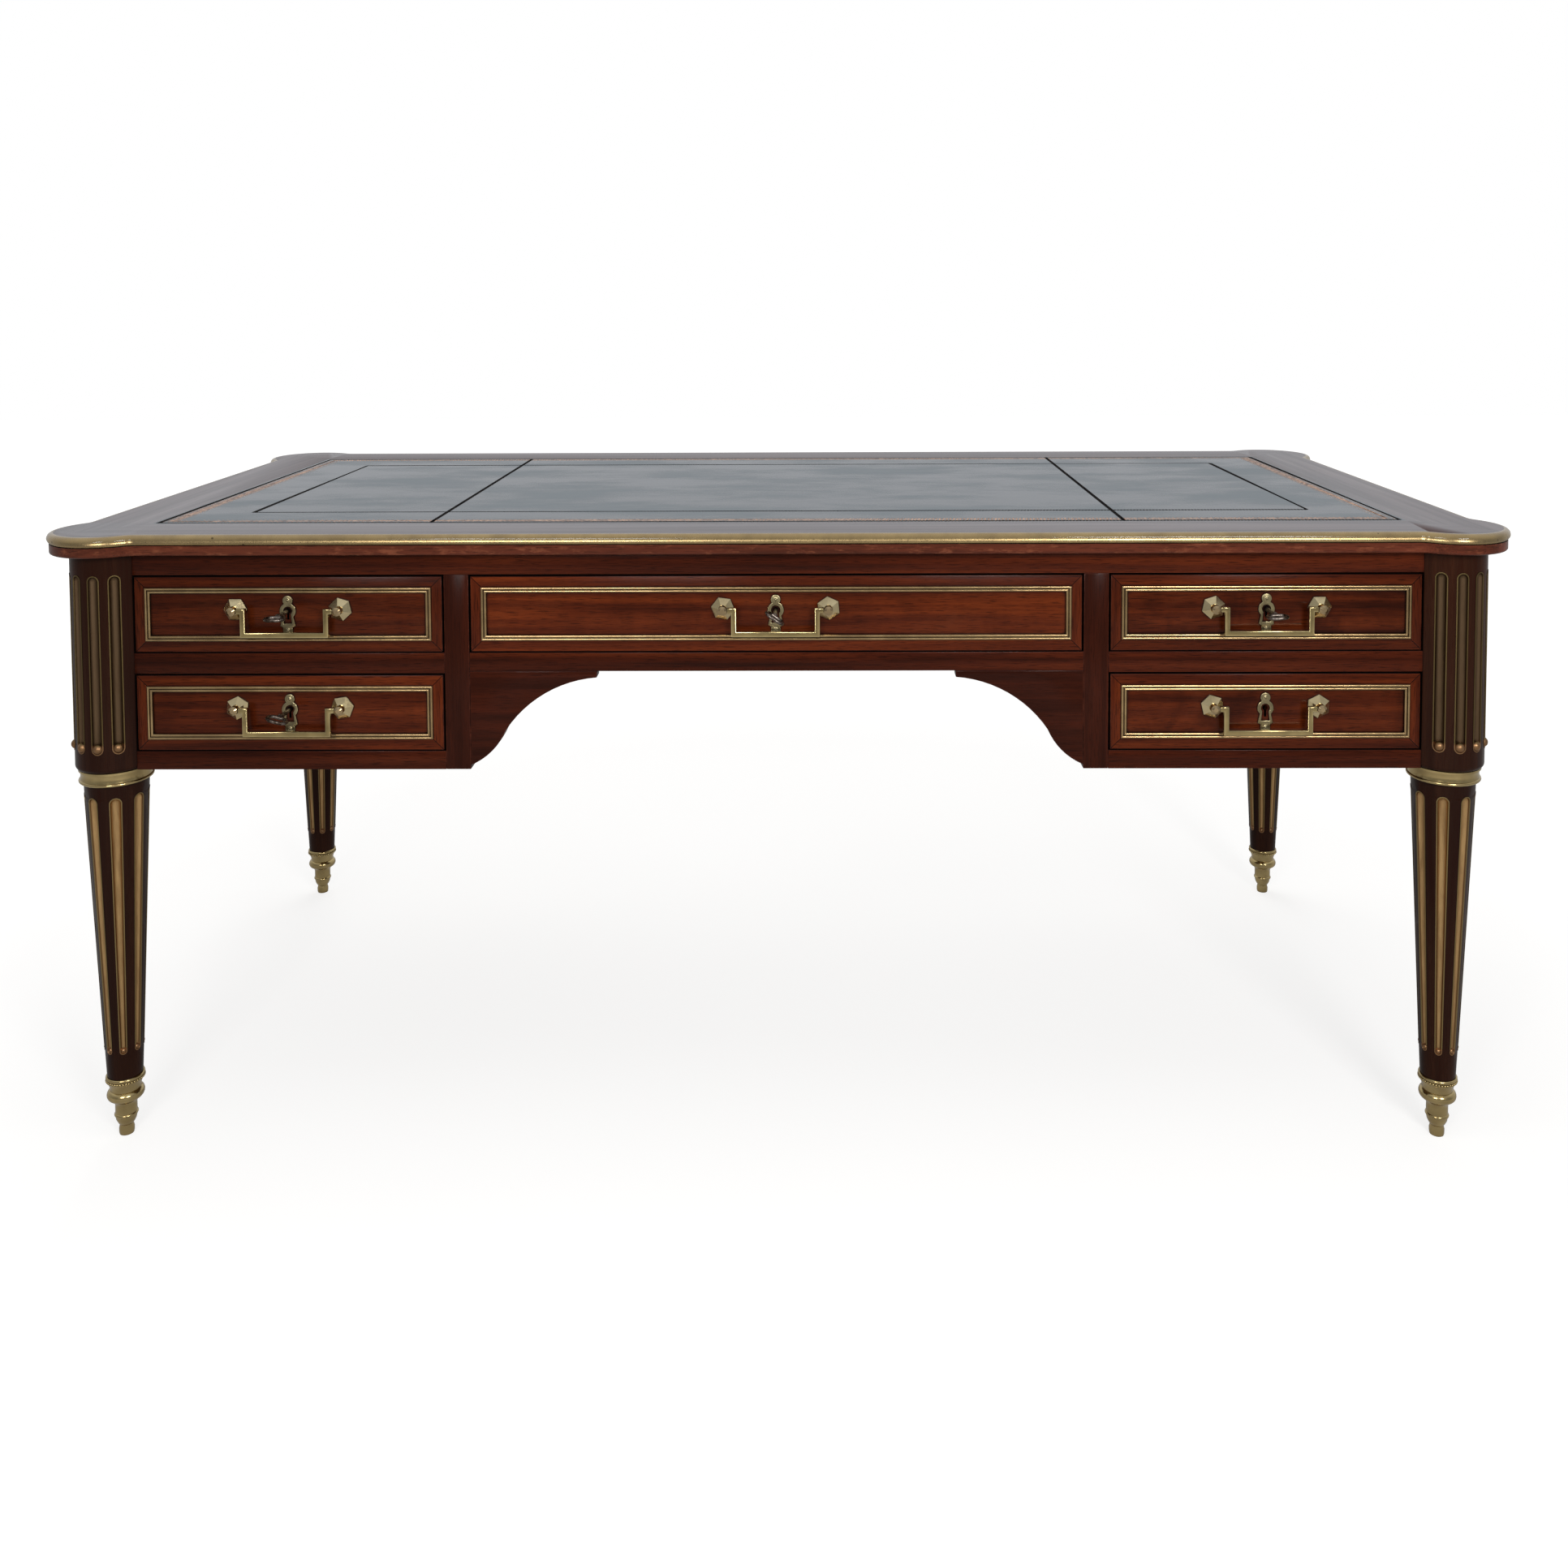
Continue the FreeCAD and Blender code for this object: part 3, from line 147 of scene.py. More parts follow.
class DeskColours(bpy.types.PropertyGroup):
    """Colours of the desk's materials."""

    wood_dark: hue("Dark wood", "Late growth and shadowed figure of the mahogany", "240a03")
    rail_mid: hue("Rail wood", "Body colour of the rails", "481b0b")
    rail_light: hue("Light rail wood", "Early growth of the rails", "5f2710")
    stile_mid: hue("Stile wood", "Body colour of the stiles, brackets and panels", "301107")
    stile_light: hue("Light stile wood", "Early growth of the stiles, brackets and panels", "43190b")
    drawer_mid: hue("Drawer wood", "Body colour of the drawer fronts", "4d1d0b")
    drawer_light: hue("Light drawer wood", "Early growth of the drawer fronts", "692c11")
    flame: hue("Flame figure", "Bright figure of the drawer fronts", "64321c")
    top_mid: hue("Top wood", "Body colour of the top's border", "30120a")
    top_light: hue("Light top wood", "Early growth of the top's border", "3f1a0e")
    lip_mid: hue("Lip wood", "Body colour of the top's lip", "582719")
    lip_light: hue("Light lip wood", "Early growth of the top's lip", "6c3321")
    leg_mid: hue("Leg wood", "Nearly black mahogany of the legs", "261209")
    leg_light: hue("Light leg wood", "Early growth of the legs", "331a0e")
    edge_mid: hue("Edge wood", "Mahogany of the boards' rubbed edges", "3c160a")
    edge_light: hue("Light edge wood", "Bare wood of the boards' edges", "5a2a1a")
    rubbed: hue("Rubbed wood", "Mahogany where its polish has gone", "8a4f36")
    oak: hue("Oak", "Drawer linings and runners", "9c7446")
    oak_dark: hue("Dark oak", "Growth rings and pores of the oak", "5f4023")
    brass: hue("Brass", "Polished brass", "c8b17a")
    brass_dull: hue("Dull brass", "Brass that has lost its polish", "9c8658")
    grime: hue("Grime", "Old polish in the hollows of the brass", "2c1f12")
    copper: hue("Reddish brass", "Pearls at the foot of the flutes", "93704f")
    leather: hue("Leather", "Dark leather of the top", "20272b")
    leather_worn: hue("Worn leather", "Rubbed patches of the leather", "4a5459")
    tooling: hue("Blind tooling", "Burnt lines pressed in the leather", "100e0e")
    gilt: hue("Gilt tooling", "Gold leaf of the leather's border", "cfa384")
    steel: hue("Steel", "Browned steel of keys and bolts", "7c726a")


def length(name, description, size, least):
    """A length property with its default and its least value."""
    return bpy.props.FloatProperty(name=name, description=description, unit="LENGTH", default=size, min=least)


class DeskSizes(bpy.types.PropertyGroup):
    """Sizes of what is added to the solids."""

    edge_wear: length("Edge wear", "Rounding of the boards' edges", 0.9 * MM, 0.0)
    pearl: length("Pearl", "Radius of a pearl on a foot cup", 1.65 * MM, 0.1 * MM)
    pearl_ring: length("Pearl ring", "Radius of a row of pearls", 21.7 * MM, 1.0 * MM)
    pearls: bpy.props.IntProperty(name="Pearls", description="Pearls around one foot cup", default=40, min=3)
    stamp_pitch: length("Stamp pitch", "Spacing of the gilt stamps", 4.4 * MM, 1.0 * MM)
    band_inset: length("Gilt band inset", "Leather's edge to the gilt band's middle", 17.5 * MM, 1.0 * MM)


def add(tree, kind, fill=(), out=0, **settings):
    """Adds one node with its settings, values and links, and returns one of its outputs, or the node."""
    node = tree.nodes.new(kind)
    for key, value in settings.items():
        setattr(node, key, value)
    for key, value in dict(fill).items():
        socket = node.inputs[key]
        if isinstance(value, bpy.types.NodeSocket):
            tree.links.new(value, socket)
        else:
            socket.default_value = value
    return node if out is None else node.outputs[out]


def new_material(name):
    """A material with a cleared node tree, its output node and its place on the object."""
    material = bpy.data.materials.new(name)
    material.use_nodes = True
    tree = material.node_tree
    tree.nodes.clear()
    output = add(tree, "ShaderNodeOutputMaterial", out=None)
    place = add(tree, "ShaderNodeTexCoord", out=3)
    return material, tree, output, place


def polished_mahogany(
    name, grain, tones, shift=0.0, mottle=0.0, banding=None, wear=None,
    gloss=0.08, polish=0.05, rough=0.2, painted_light_and_tone=(1.0, 1.0), rise=(1.0, 1.0),
):
    """French-polished mahogany: long soft bands, short dark pores and a thin clear polish over them.

    The banding, where there is one, is a mitred border whose grain follows its own edge. The pair of end
    values scales the colour from the desk's left end to its right, as painted shade where less light falls,
    and the rise gives its depth at the bottom and the top of the carcass.
    """
    material, tree, output, place = new_material(name)
    offset = (shift, 1.7 * shift, 2.3 * shift)
    run = add(tree, "ShaderNodeMapping", {"Vector": place, "Location": offset, "Rotation": GRAIN_TURN[grain]})
    if banding:
        axis_u, axis_w, middle_u, middle_w, half_u, half_w, width = banding
        split = add(tree, "ShaderNodeSeparateXYZ", {0: place}, out=None)
        # how far a place is from the ends and from the long edges
        reach = {}
        for index, axis, middle, half in ((0, axis_u, middle_u, half_u), (1, axis_w, middle_w, half_w)):
            along = split.outputs["XYZ".index(axis)]
            away = add(tree, "ShaderNodeMath", {0: along, 1: middle}, operation="SUBTRACT")
            size = add(tree, "ShaderNodeMath", {0: away}, operation="ABSOLUTE")
            reach[index] = add(tree, "ShaderNodeMath", {0: half, 1: size}, operation="SUBTRACT")
        near = add(tree, "ShaderNodeMath", reach, operation="MINIMUM")
        border = add(tree, "ShaderNodeMath", {0: near, 1: width}, operation="LESS_THAN")
        upright = add(tree, "ShaderNodeMath", reach, operation="LESS_THAN")
        upright = add(tree, "ShaderNodeMath", {0: upright, 1: border}, operation="MULTIPLY")
        turned = {"Vector": place, "Location": (0.9, 0.4, 0.2), "Rotation": GRAIN_TURN[axis_w]}
        cross = add(tree, "ShaderNodeMapping", turned)
        run = add(tree, "ShaderNodeMix", {0: upright, 4: run, 5: cross}, out=1, data_type="VECTOR")
        seam = add(tree, "ShaderNodeMath", {**reach, 2: MITRE_GAP}, operation="COMPARE")
        seam = add(tree, "ShaderNodeMath", {0: seam, 1: border}, operation="MULTIPLY")
    # growth bands about 16 mm wide that run over half a metre
    stretched = add(tree, "ShaderNodeMapping", {"Vector": run, "Scale": (1.8, 62.0, 62.0)})
    figure = {"Vector": stretched, "Scale": 1.0, "Detail": 5.0, "Roughness": 0.62, "Distortion": 0.35}
    bands = add(tree, "ShaderNodeTexNoise", figure)
    ramp = add(tree, "ShaderNodeValToRGB", {0: bands}, out=None)
    stops = ramp.color_ramp.elements
    stops[0].position, stops[0].color = 0.26, tones[0]
    stops[1].position, stops[1].color = 0.68, tones[2]
    stops.new(0.46).color = tones[1]
    colour = ramp.outputs[0]
    if mottle:
        # flame figure: blotches 80 to 120 mm across inside the border
        blotted = add(tree, "ShaderNodeMapping", {"Vector": run, "Scale": (13.0, 8.0, 9.0)})
        figure = {"Vector": blotted, "Scale": 1.0, "Detail": 4.0, "Roughness": 0.55, "Distortion": 0.6}
        blots = add(tree, "ShaderNodeTexNoise", figure)
        inner = add(tree, "ShaderNodeMath", {0: mottle, 1: border}, operation="SUBTRACT", use_clamp=True)
        for ends, tone in (((0.5, 0.72), tones[3]), ((0.54, 0.36), tones[0])):
            share = {0: blots, 1: ends[0], 2: ends[1], 3: 0.0, 4: inner}
            share = add(tree, "ShaderNodeMapRange", share, interpolation_type="SMOOTHSTEP")
            colour = add(tree, "ShaderNodeMix", {0: share, 6: colour, 7: tone}, out=2, data_type="RGBA")
    # pores some 20 mm long, drawn about 1 mm wide because real ones are too fine to show
    pored = add(tree, "ShaderNodeMapping", {"Vector": run, "Scale": (50.0, 950.0, 950.0)})
    pores = add(tree, "ShaderNodeTexNoise", {"Vector": pored, "Scale": 1.0, "Detail": 2.0, "Roughness": 0.6})
    depth = {0: pores, 1: 0.5, 2: 0.7, 3: 0.0, 4: 0.75}
    pore = add(tree, "ShaderNodeMapRange", depth, interpolation_type="SMOOTHSTEP")
    colour = add(tree, "ShaderNodeMix", {0: pore, 6: colour, 7: tones[0]}, out=2, data_type="RGBA")
    # slow drift of the stain over a quarter of a metre
    drift = add(tree, "ShaderNodeTexNoise", {"Vector": place, "Scale": 4.0, "Detail": 2.0})
    shade = add(tree, "ShaderNodeMapRange", {0: drift, 1: 0.3, 2: 0.7, 3: 0.8, 4: 1.18})
    # painted shade: the colour is scaled from the desk's left end to its right, darker where less light falls
    ends = add(tree, "ShaderNodeSeparateXYZ", {0: place}, out=None).outputs
    across = add(tree, "ShaderNodeMapRange", {0: ends[0], 1: -0.75, 2: 0.75, 3: painted_light_and_tone[0], 4: painted_light_and_tone[1]})
    upward = add(tree, "ShaderNodeMapRange", {0: ends[2], 1: 0.5, 2: 0.72, 3: rise[0], 4: rise[1]})
    for part in (across, upward):
        shade = add(tree, "ShaderNodeMath", {0: shade, 1: part}, operation="MULTIPLY")
    colour = add(tree, "ShaderNodeHueSaturation", {"Value": shade, "Color": colour})
    if banding:
        glue = linear("120604")
        colour = add(tree, "ShaderNodeMix", {0: seam, 6: colour, 7: glue}, out=2, data_type="RGBA")
    if wear:
        # rubbed spots about 24 mm long and 6 mm wide
        rubbed = add(tree, "ShaderNodeMapping", {"Vector": run, "Scale": (42.0, 160.0, 160.0)})
        spots = {"Vector": rubbed, "Scale": 1.0, "Detail": 4.0, "Roughness": 0.7}
        rub = add(tree, "ShaderNodeTexNoise", spots)
        share = {0: rub, 1: 0.52, 2: 0.72, 3: 0.08, 4: 0.6}
        rub = add(tree, "ShaderNodeMapRange", share, interpolation_type="SMOOTHSTEP")
        colour = add(tree, "ShaderNodeMix", {0: rub, 6: colour, 7: wear}, out=2, data_type="RGBA")
    # painted shade in the joints and gaps between parts, with dust and old polish, up to 5 mm deep
    open_sky = add(tree, "ShaderNodeAmbientOcclusion", {"Distance": 5.0 * MM}, out=1, samples=6)
    crevice_dark = add(tree, "ShaderNodeMapRange", {0: open_sky, 1: 0.88, 2: 0.5}, interpolation_type="SMOOTHSTEP")
    colour = add(tree, "ShaderNodeMix", {0: crevice_dark, 6: colour, 7: linear("0c0403")}, out=2, data_type="RGBA")
    haze = add(tree, "ShaderNodeMapRange", {0: bands, 1: 0.3, 2: 0.7, 3: rough + 0.05, 4: rough - 0.05})
    haze = add(tree, "ShaderNodeMath", {0: haze, 1: crevice_dark}, operation="MAXIMUM")
    bump = add(tree, "ShaderNodeBump", {"Strength": 0.12, "Distance": 0.3 * MM, "Height": pores}, invert=True)
    finish = {"Base Color": colour, "Roughness": haze, "IOR": 1.5, "Normal": bump}
    finish.update({"Specular IOR Level": gloss, "Coat Weight": polish, "Coat Roughness": 0.08})
    tree.links.new(add(tree, "ShaderNodeBsdfPrincipled", finish), output.inputs[0])
    return material


def drawer_oak(name, grain, light, dark):
    """Planed oak left bare: straight grain with short open pores and no polish."""
    material, tree, output, place = new_material(name)
    run = add(tree, "ShaderNodeMapping", {"Vector": place, "Rotation": GRAIN_TURN[grain]})
    # growth rings about 8 mm apart
    ringed = add(tree, "ShaderNodeMapping", {"Vector": run, "Scale": (3.0, 120.0, 120.0)})
    figure = {"Vector": ringed, "Scale": 1.0, "Detail": 4.0, "Distortion": 0.3}
    rings = add(tree, "ShaderNodeTexNoise", figure)
    colour = add(tree, "ShaderNodeMix", {0: rings, 6: dark, 7: light}, out=2, data_type="RGBA")
    # pores 10 mm long and about 1 mm wide
    pored = add(tree, "ShaderNodeMapping", {"Vector": run, "Scale": (90.0, 1000.0, 1000.0)})
    pores = add(tree, "ShaderNodeTexNoise", {"Vector": pored, "Scale": 1.0, "Detail": 1.0})
    pore = add(tree, "ShaderNodeMapRange", {0: pores, 1: 0.58, 2: 0.7, 3: 0.0, 4: 0.6})
    colour = add(tree, "ShaderNodeMix", {0: pore, 6: colour, 7: dark}, out=2, data_type="RGBA")
    bump = add(tree, "ShaderNodeBump", {"Strength": 0.2, "Distance": 0.3 * MM, "Height": pores}, invert=True)
    finish = {"Base Color": colour, "Roughness": 0.62, "IOR": 1.5, "Normal": bump}
    tree.links.new(add(tree, "ShaderNodeBsdfPrincipled", finish), output.inputs[0])
    return material


def aged_brass(name, bright, dull, grime, rough, hollow=0.8, pits=0.0, warm=None, lean=0.0):
    """Cast and chased brass, polished for many years: bright where it is rubbed, brown in its hollows.

    The warm part, where there is one, takes a second colour beyond a place on an axis.
    The lean turns the shine up, as on a moulding filed flatter along its foot.
    """
    material, tree, output, place = new_material(name)
    # clouds of tarnish about 25 mm across
    tarnish = {"Vector": place, "Scale": 40.0, "Detail": 2.0, "Roughness": 0.55}
    cloud = add(tree, "ShaderNodeTexNoise", tarnish)
    worn = add(tree, "ShaderNodeMapRange", {0: cloud, 1: 0.3, 2: 0.7, 3: 0.0, 4: 0.75})
    colour = add(tree, "ShaderNodeMix", {0: worn, 6: bright, 7: dull}, out=2, data_type="RGBA")
    if warm:
        axis, start, end, tint = warm
        split = add(tree, "ShaderNodeSeparateXYZ", {0: place}, out=None)
        share = add(tree, "ShaderNodeMapRange", {0: split.outputs["XYZ".index(axis)], 1: start, 2: end})
        colour = add(tree, "ShaderNodeMix", {0: share, 6: colour, 7: tint}, out=2, data_type="RGBA")
    # old polish packed in corners up to 3 mm deep
    open_sky = add(tree, "ShaderNodeAmbientOcclusion", {"Distance": 3.0 * MM}, out=1, samples=6)
    share = {0: open_sky, 1: 0.85, 2: 0.42, 3: 0.0, 4: hollow}
    crevice_dark = add(tree, "ShaderNodeMapRange", share, interpolation_type="SMOOTHSTEP")
    colour = add(tree, "ShaderNodeMix", {0: crevice_dark, 6: colour, 7: grime}, out=2, data_type="RGBA")
    # hand polish marks, drawn about 2 mm apart
    marks = add(tree, "ShaderNodeTexNoise", {"Vector": place, "Scale": 450.0, "Detail": 2.0})
    haze = add(tree, "ShaderNodeMapRange", {0: marks, 1: 0.3, 2: 0.7, 3: rough - 0.03, 4: rough + 0.05})
    dim = add(tree, "ShaderNodeMath", {0: crevice_dark, 1: 0.35}, operation="MULTIPLY")
    haze = add(tree, "ShaderNodeMath", {0: haze, 1: dim}, operation="ADD")
    height = add(tree, "ShaderNodeMath", {0: marks, 1: 0.02}, operation="MULTIPLY")
    if pits:
        # dents and pinholes up to 4 mm wide, in about a fifth of the cells of a 9 mm grid
        holes = add(tree, "ShaderNodeTexVoronoi", {"Vector": place, "Scale": 110.0}, out=None, feature="F1")
        chance = add(tree, "ShaderNodeSeparateColor", {0: holes.outputs[1]})
        width = add(tree, "ShaderNodeMapRange", {0: chance, 1: 0.78, 2: 1.0, 3: 0.0, 4: 0.22})
        edge = add(tree, "ShaderNodeMath", {0: width, 1: 0.6}, operation="MULTIPLY")
        pit = add(tree, "ShaderNodeMapRange", {0: holes.outputs[0], 1: width, 2: edge, 3: 0.0, 4: pits})
        colour = add(tree, "ShaderNodeMix", {0: pit, 6: colour, 7: grime}, out=2, data_type="RGBA")
        height = add(tree, "ShaderNodeMath", {0: height, 1: pit}, operation="SUBTRACT")
    facing = add(tree, "ShaderNodeBump", {"Strength": 0.3, "Distance": 0.4 * MM, "Height": height})
    if lean:
        facing = add(tree, "ShaderNodeVectorMath", {0: facing, 1: (0.0, 0.0, lean)}, operation="ADD")
        facing = add(tree, "ShaderNodeVectorMath", {0: facing}, operation="NORMALIZE")
    finish = {"Base Color": colour, "Metallic": 1.0, "Roughness": haze, "Normal": facing}
    finish.update({"Coat Weight": 0.4, "Coat Roughness": 0.1})
    tree.links.new(add(tree, "ShaderNodeBsdfPrincipled", finish), output.inputs[0])
    return material


def flute_brass(name, floor_tone, shaded_side_tone, rim_tone, pearl_tone, radii, heights, rough):
    """Sheet brass pressed in the flutes: dull floor, brown sides darkened as painted shade, rubbed rim and a
    reddish pearl at the foot.

    The radii and heights give the wood's surface, from which the depth of a place is measured.
    """
    material, tree, output, place = new_material(name)
    split = add(tree, "ShaderNodeSeparateXYZ", {0: place}, out=None)
    squares = []
    for axis, middle in ((0, LEG_X), (1, LEG_Y)):
        away = add(tree, "ShaderNodeMath", {0: split.outputs[axis]}, operation="ABSOLUTE")
        away = add(tree, "ShaderNodeMath", {0: away, 1: middle}, operation="SUBTRACT")
        squares.append(add(tree, "ShaderNodeMath", {0: away, 1: 2.0}, operation="POWER"))
    radius = add(tree, "ShaderNodeMath", {0: squares[0], 1: squares[1]}, operation="ADD")
    radius = add(tree, "ShaderNodeMath", {0: radius}, operation="SQRT")
    taper = {0: split.outputs[2], 1: heights[0], 2: heights[1], 3: radii[0], 4: radii[1]}
    skin = add(tree, "ShaderNodeMapRange", taper)
    depth = add(tree, "ShaderNodeMath", {0: skin, 1: radius}, operation="SUBTRACT")
    # streaks of tarnish that run down the flute, about 45 mm long and 6 mm wide
    drawn = add(tree, "ShaderNodeMapping", {"Vector": place, "Scale": (160.0, 160.0, 22.0)})
    streak = add(tree, "ShaderNodeTexNoise", {"Vector": drawn, "Scale": 1.0, "Detail": 4.0, "Roughness": 0.6})
    patina = add(tree, "ShaderNodeMapRange", {0: streak, 1: 0.35, 2: 0.7, 3: 0.0, 4: 0.5})
    # the sides, painted darker than the floor as shade, turn to floor between 0.6 and 2.2 mm deep, and the rim
    # is rubbed to 0.35 mm
    sunk = {0: depth, 1: 0.6 * MM, 2: 2.2 * MM}
    low = add(tree, "ShaderNodeMapRange", sunk, interpolation_type="SMOOTHSTEP")
    colour = add(tree, "ShaderNodeMix", {0: low, 6: shaded_side_tone, 7: floor_tone}, out=2, data_type="RGBA")
    colour = add(tree, "ShaderNodeMix", {0: patina, 6: colour, 7: shaded_side_tone}, out=2, data_type="RGBA")
    rim = add(tree, "ShaderNodeMapRange", {0: depth, 1: 0.35 * MM, 2: 0.15 * MM})
    colour = add(tree, "ShaderNodeMix", {0: rim, 6: colour, 7: rim_tone}, out=2, data_type="RGBA")
    foot = add(tree, "ShaderNodeMapRange", {0: split.outputs[2], 1: heights[2] + 1.5 * MM, 2: heights[2]})
    colour = add(tree, "ShaderNodeMix", {0: foot, 6: colour, 7: pearl_tone}, out=2, data_type="RGBA")
    haze = add(tree, "ShaderNodeMapRange", {0: streak, 1: 0.3, 2: 0.7, 3: rough - 0.08, 4: rough + 0.08})
    bump = add(tree, "ShaderNodeBump", {"Strength": 0.25, "Distance": 0.4 * MM, "Height": streak})
    finish = {"Base Color": colour, "Metallic": 1.0, "Roughness": haze, "Normal": bump}
    tree.links.new(add(tree, "ShaderNodeBsdfPrincipled", finish), output.inputs[0])
    return material


def tooled_leather(name, dye, worn):
    """Dyed calf, pressed and polished: fine pebble grain and rubbed patches."""
    material, tree, output, place = new_material(name)
    # rubbed patches about 200 by 90 mm, drawn out along the desk
    spread = add(tree, "ShaderNodeMapping", {"Vector": place, "Scale": (5.0, 11.0, 5.0)})
    rubs = add(tree, "ShaderNodeTexNoise", {"Vector": spread, "Scale": 1.0, "Detail": 5.0, "Roughness": 0.62})
    rub = add(tree, "ShaderNodeMapRange", {0: rubs, 1: 0.38, 2: 0.68}, interpolation_type="SMOOTHSTEP")
    colour = add(tree, "ShaderNodeMix", {0: rub, 6: dye, 7: worn}, out=2, data_type="RGBA")
    # pebble grain, drawn 2.5 mm wide because the real 0.8 mm is too fine to show
    grain = add(tree, "ShaderNodeTexVoronoi", {"Vector": place, "Scale": 400.0}, feature="DISTANCE_TO_EDGE")
    pebble = add(tree, "ShaderNodeMapRange", {0: grain, 1: 0.0, 2: 0.25}, interpolation_type="SMOOTHSTEP")
    bump = add(tree, "ShaderNodeBump", {"Strength": 0.06, "Distance": 0.1 * MM, "Height": pebble})
    rough = add(tree, "ShaderNodeMapRange", {0: rub, 1: 0.0, 2: 1.0, 3: 0.2, 4: 0.38})
    finish = {"Base Color": colour, "Roughness": rough, "IOR": 1.5, "Specular IOR Level": 0.7, "Normal": bump}
    tree.links.new(add(tree, "ShaderNodeBsdfPrincipled", finish), output.inputs[0])
    return material


def burnt_leather(name, tone):
    """Leather burnt by a hot wheel: dull, nearly black, with a broken edge."""
    material, tree, output, place = new_material(name)
    # scorch that comes and goes over about 15 mm
    scorch = add(tree, "ShaderNodeTexNoise", {"Vector": place, "Scale": 70.0, "Detail": 3.0})
    share = add(tree, "ShaderNodeMapRange", {0: scorch, 1: 0.4, 2: 0.7, 3: 0.0, 4: 0.6})
    colour = add(tree, "ShaderNodeMix", {0: share, 6: tone, 7: linear("35302d")}, out=2, data_type="RGBA")
    finish = {"Base Color": colour, "Roughness": 0.95, "IOR": 1.3, "Specular IOR Level": 0.05}
    tree.links.new(add(tree, "ShaderNodeBsdfPrincipled", finish), output.inputs[0])
    return material


def gold_leaf(name, bright, dull):
    """Gold leaf burnished in leather: broken and brown where it has rubbed away."""
    material, tree, output, place = new_material(name)
    # breaks in the leaf about 4 mm across
    breaks = add(tree, "ShaderNodeTexNoise", {"Vector": place, "Scale": 240.0, "Detail": 3.0})
    loss = add(tree, "ShaderNodeMapRange", {0: breaks, 1: 0.42, 2: 0.6}, interpolation_type="SMOOTHSTEP")
    colour = add(tree, "ShaderNodeMix", {0: loss, 6: bright, 7: dull}, out=2, data_type="RGBA")
    finish = {"Base Color": colour, "Metallic": 0.5, "Roughness": 0.45}
    tree.links.new(add(tree, "ShaderNodeBsdfPrincipled", finish), output.inputs[0])
    return material


def worn_steel(name, tone):
    """Filed steel, browned by age and rubbed bright where fingers hold it."""
    material, tree, output, place = new_material(name)
    # brown bloom about 6 mm across
    bloom = add(tree, "ShaderNodeTexNoise", {"Vector": place, "Scale": 170.0, "Detail": 4.0})
    worn = add(tree, "ShaderNodeMapRange", {0: bloom, 1: 0.4, 2: 0.62}, interpolation_type="SMOOTHSTEP")
    colour = add(tree, "ShaderNodeMix", {0: worn, 6: tone, 7: linear("3e332b")}, out=2, data_type="RGBA")
    rough = add(tree, "ShaderNodeMapRange", {0: bloom, 1: 0.3, 2: 0.7, 3: 0.28, 4: 0.4})
    bump = add(tree, "ShaderNodeBump", {"Strength": 0.1, "Distance": 0.2 * MM, "Height": bloom})
    finish = {"Base Color": colour, "Metallic": 1.0, "Roughness": rough, "Normal": bump}
    tree.links.new(add(tree, "ShaderNodeBsdfPrincipled", finish), output.inputs[0])
    return material


def wood_tones(colours, kind):
    """The dark, middle and light tones of one kind of mahogany."""
    return [tuple(getattr(colours, name)) for name in ("wood_dark", kind + "_mid", kind + "_light")]


def worn_edges(colours, name):
    """Mahogany of the boards' rubbed edges."""
    bare = [tuple(colours.stile_mid), tuple(colours.edge_mid), tuple(colours.edge_light)]
    return polished_mahogany(name, "X", bare, 0.6, gloss=0.12, polish=0.08, rough=0.24)


def dress(nodes, material):
    """Gives solids of the frame a material."""
    for name in nodes:
        slots = frame["nodes"][name].data.materials
        slots.clear()
        slots.append(material)


def softened(node, body, radius, shortest, finish, edge_finish):
    """A copy of a solid with its sharp edges worn round, which stands for the solid."""
    mesh = frame["nodes"][node].data.copy()
    mesh.name = node + "_worn"
    mesh.materials.clear()
    mesh.materials.append(finish)
    mesh.materials.append(edge_finish)
    shape = bmesh.new()
    shape.from_mesh(mesh)
    bmesh.ops.remove_doubles(shape, verts=shape.verts, dist=0.005 * MM)
    bmesh.ops.dissolve_limit(shape, angle_limit=math.radians(0.5), verts=shape.verts, edges=shape.edges)
    whole = [edge for edge in shape.edges if edge.is_manifold and edge.calc_length() > shortest]
    sharp = [edge for edge in whole if edge.calc_face_angle() > math.radians(40)]
    bmesh.ops.bevel(
        shape, geom=sharp, offset=radius, segments=2, profile=0.5,
        affect="EDGES", clamp_overlap=True, material=1,
    )
    for face in shape.faces:
        face.smooth = True
    for edge in shape.edges:
        edge.smooth = edge.is_manifold and edge.calc_face_angle() < math.radians(50)
    shape.to_mesh(mesh)
    shape.free()
    piece = bpy.data.objects.new(node + "_worn", mesh)
    bpy.context.scene.collection.objects.link(piece)
    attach(piece, body)
    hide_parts(node)
    return piece


def realized(name, tree, values, data=None):
    """A piece with the plain mesh that a geometry tree gives with these named values."""
    holder = bpy.data.objects.new(name + "_path", data or bpy.data.meshes.new(name + "_path"))
    bpy.context.scene.collection.objects.link(holder)
    modifier = holder.modifiers.new("Repeat", "NODES")
    modifier.node_group = tree
    for item in tree.interface.items_tree:
        if item.in_out == "INPUT" and item.name in values:
            modifier[item.identifier] = values[item.name]
    graph = bpy.context.evaluated_depsgraph_get()
    mesh = bpy.data.meshes.new_from_object(holder.evaluated_get(graph), depsgraph=graph)
    holder.modifiers.remove(modifier)
    bpy.data.objects.remove(holder)
    mesh.name = name
    piece = bpy.data.objects.new(name, mesh)
    bpy.context.scene.collection.objects.link(piece)
    return piece


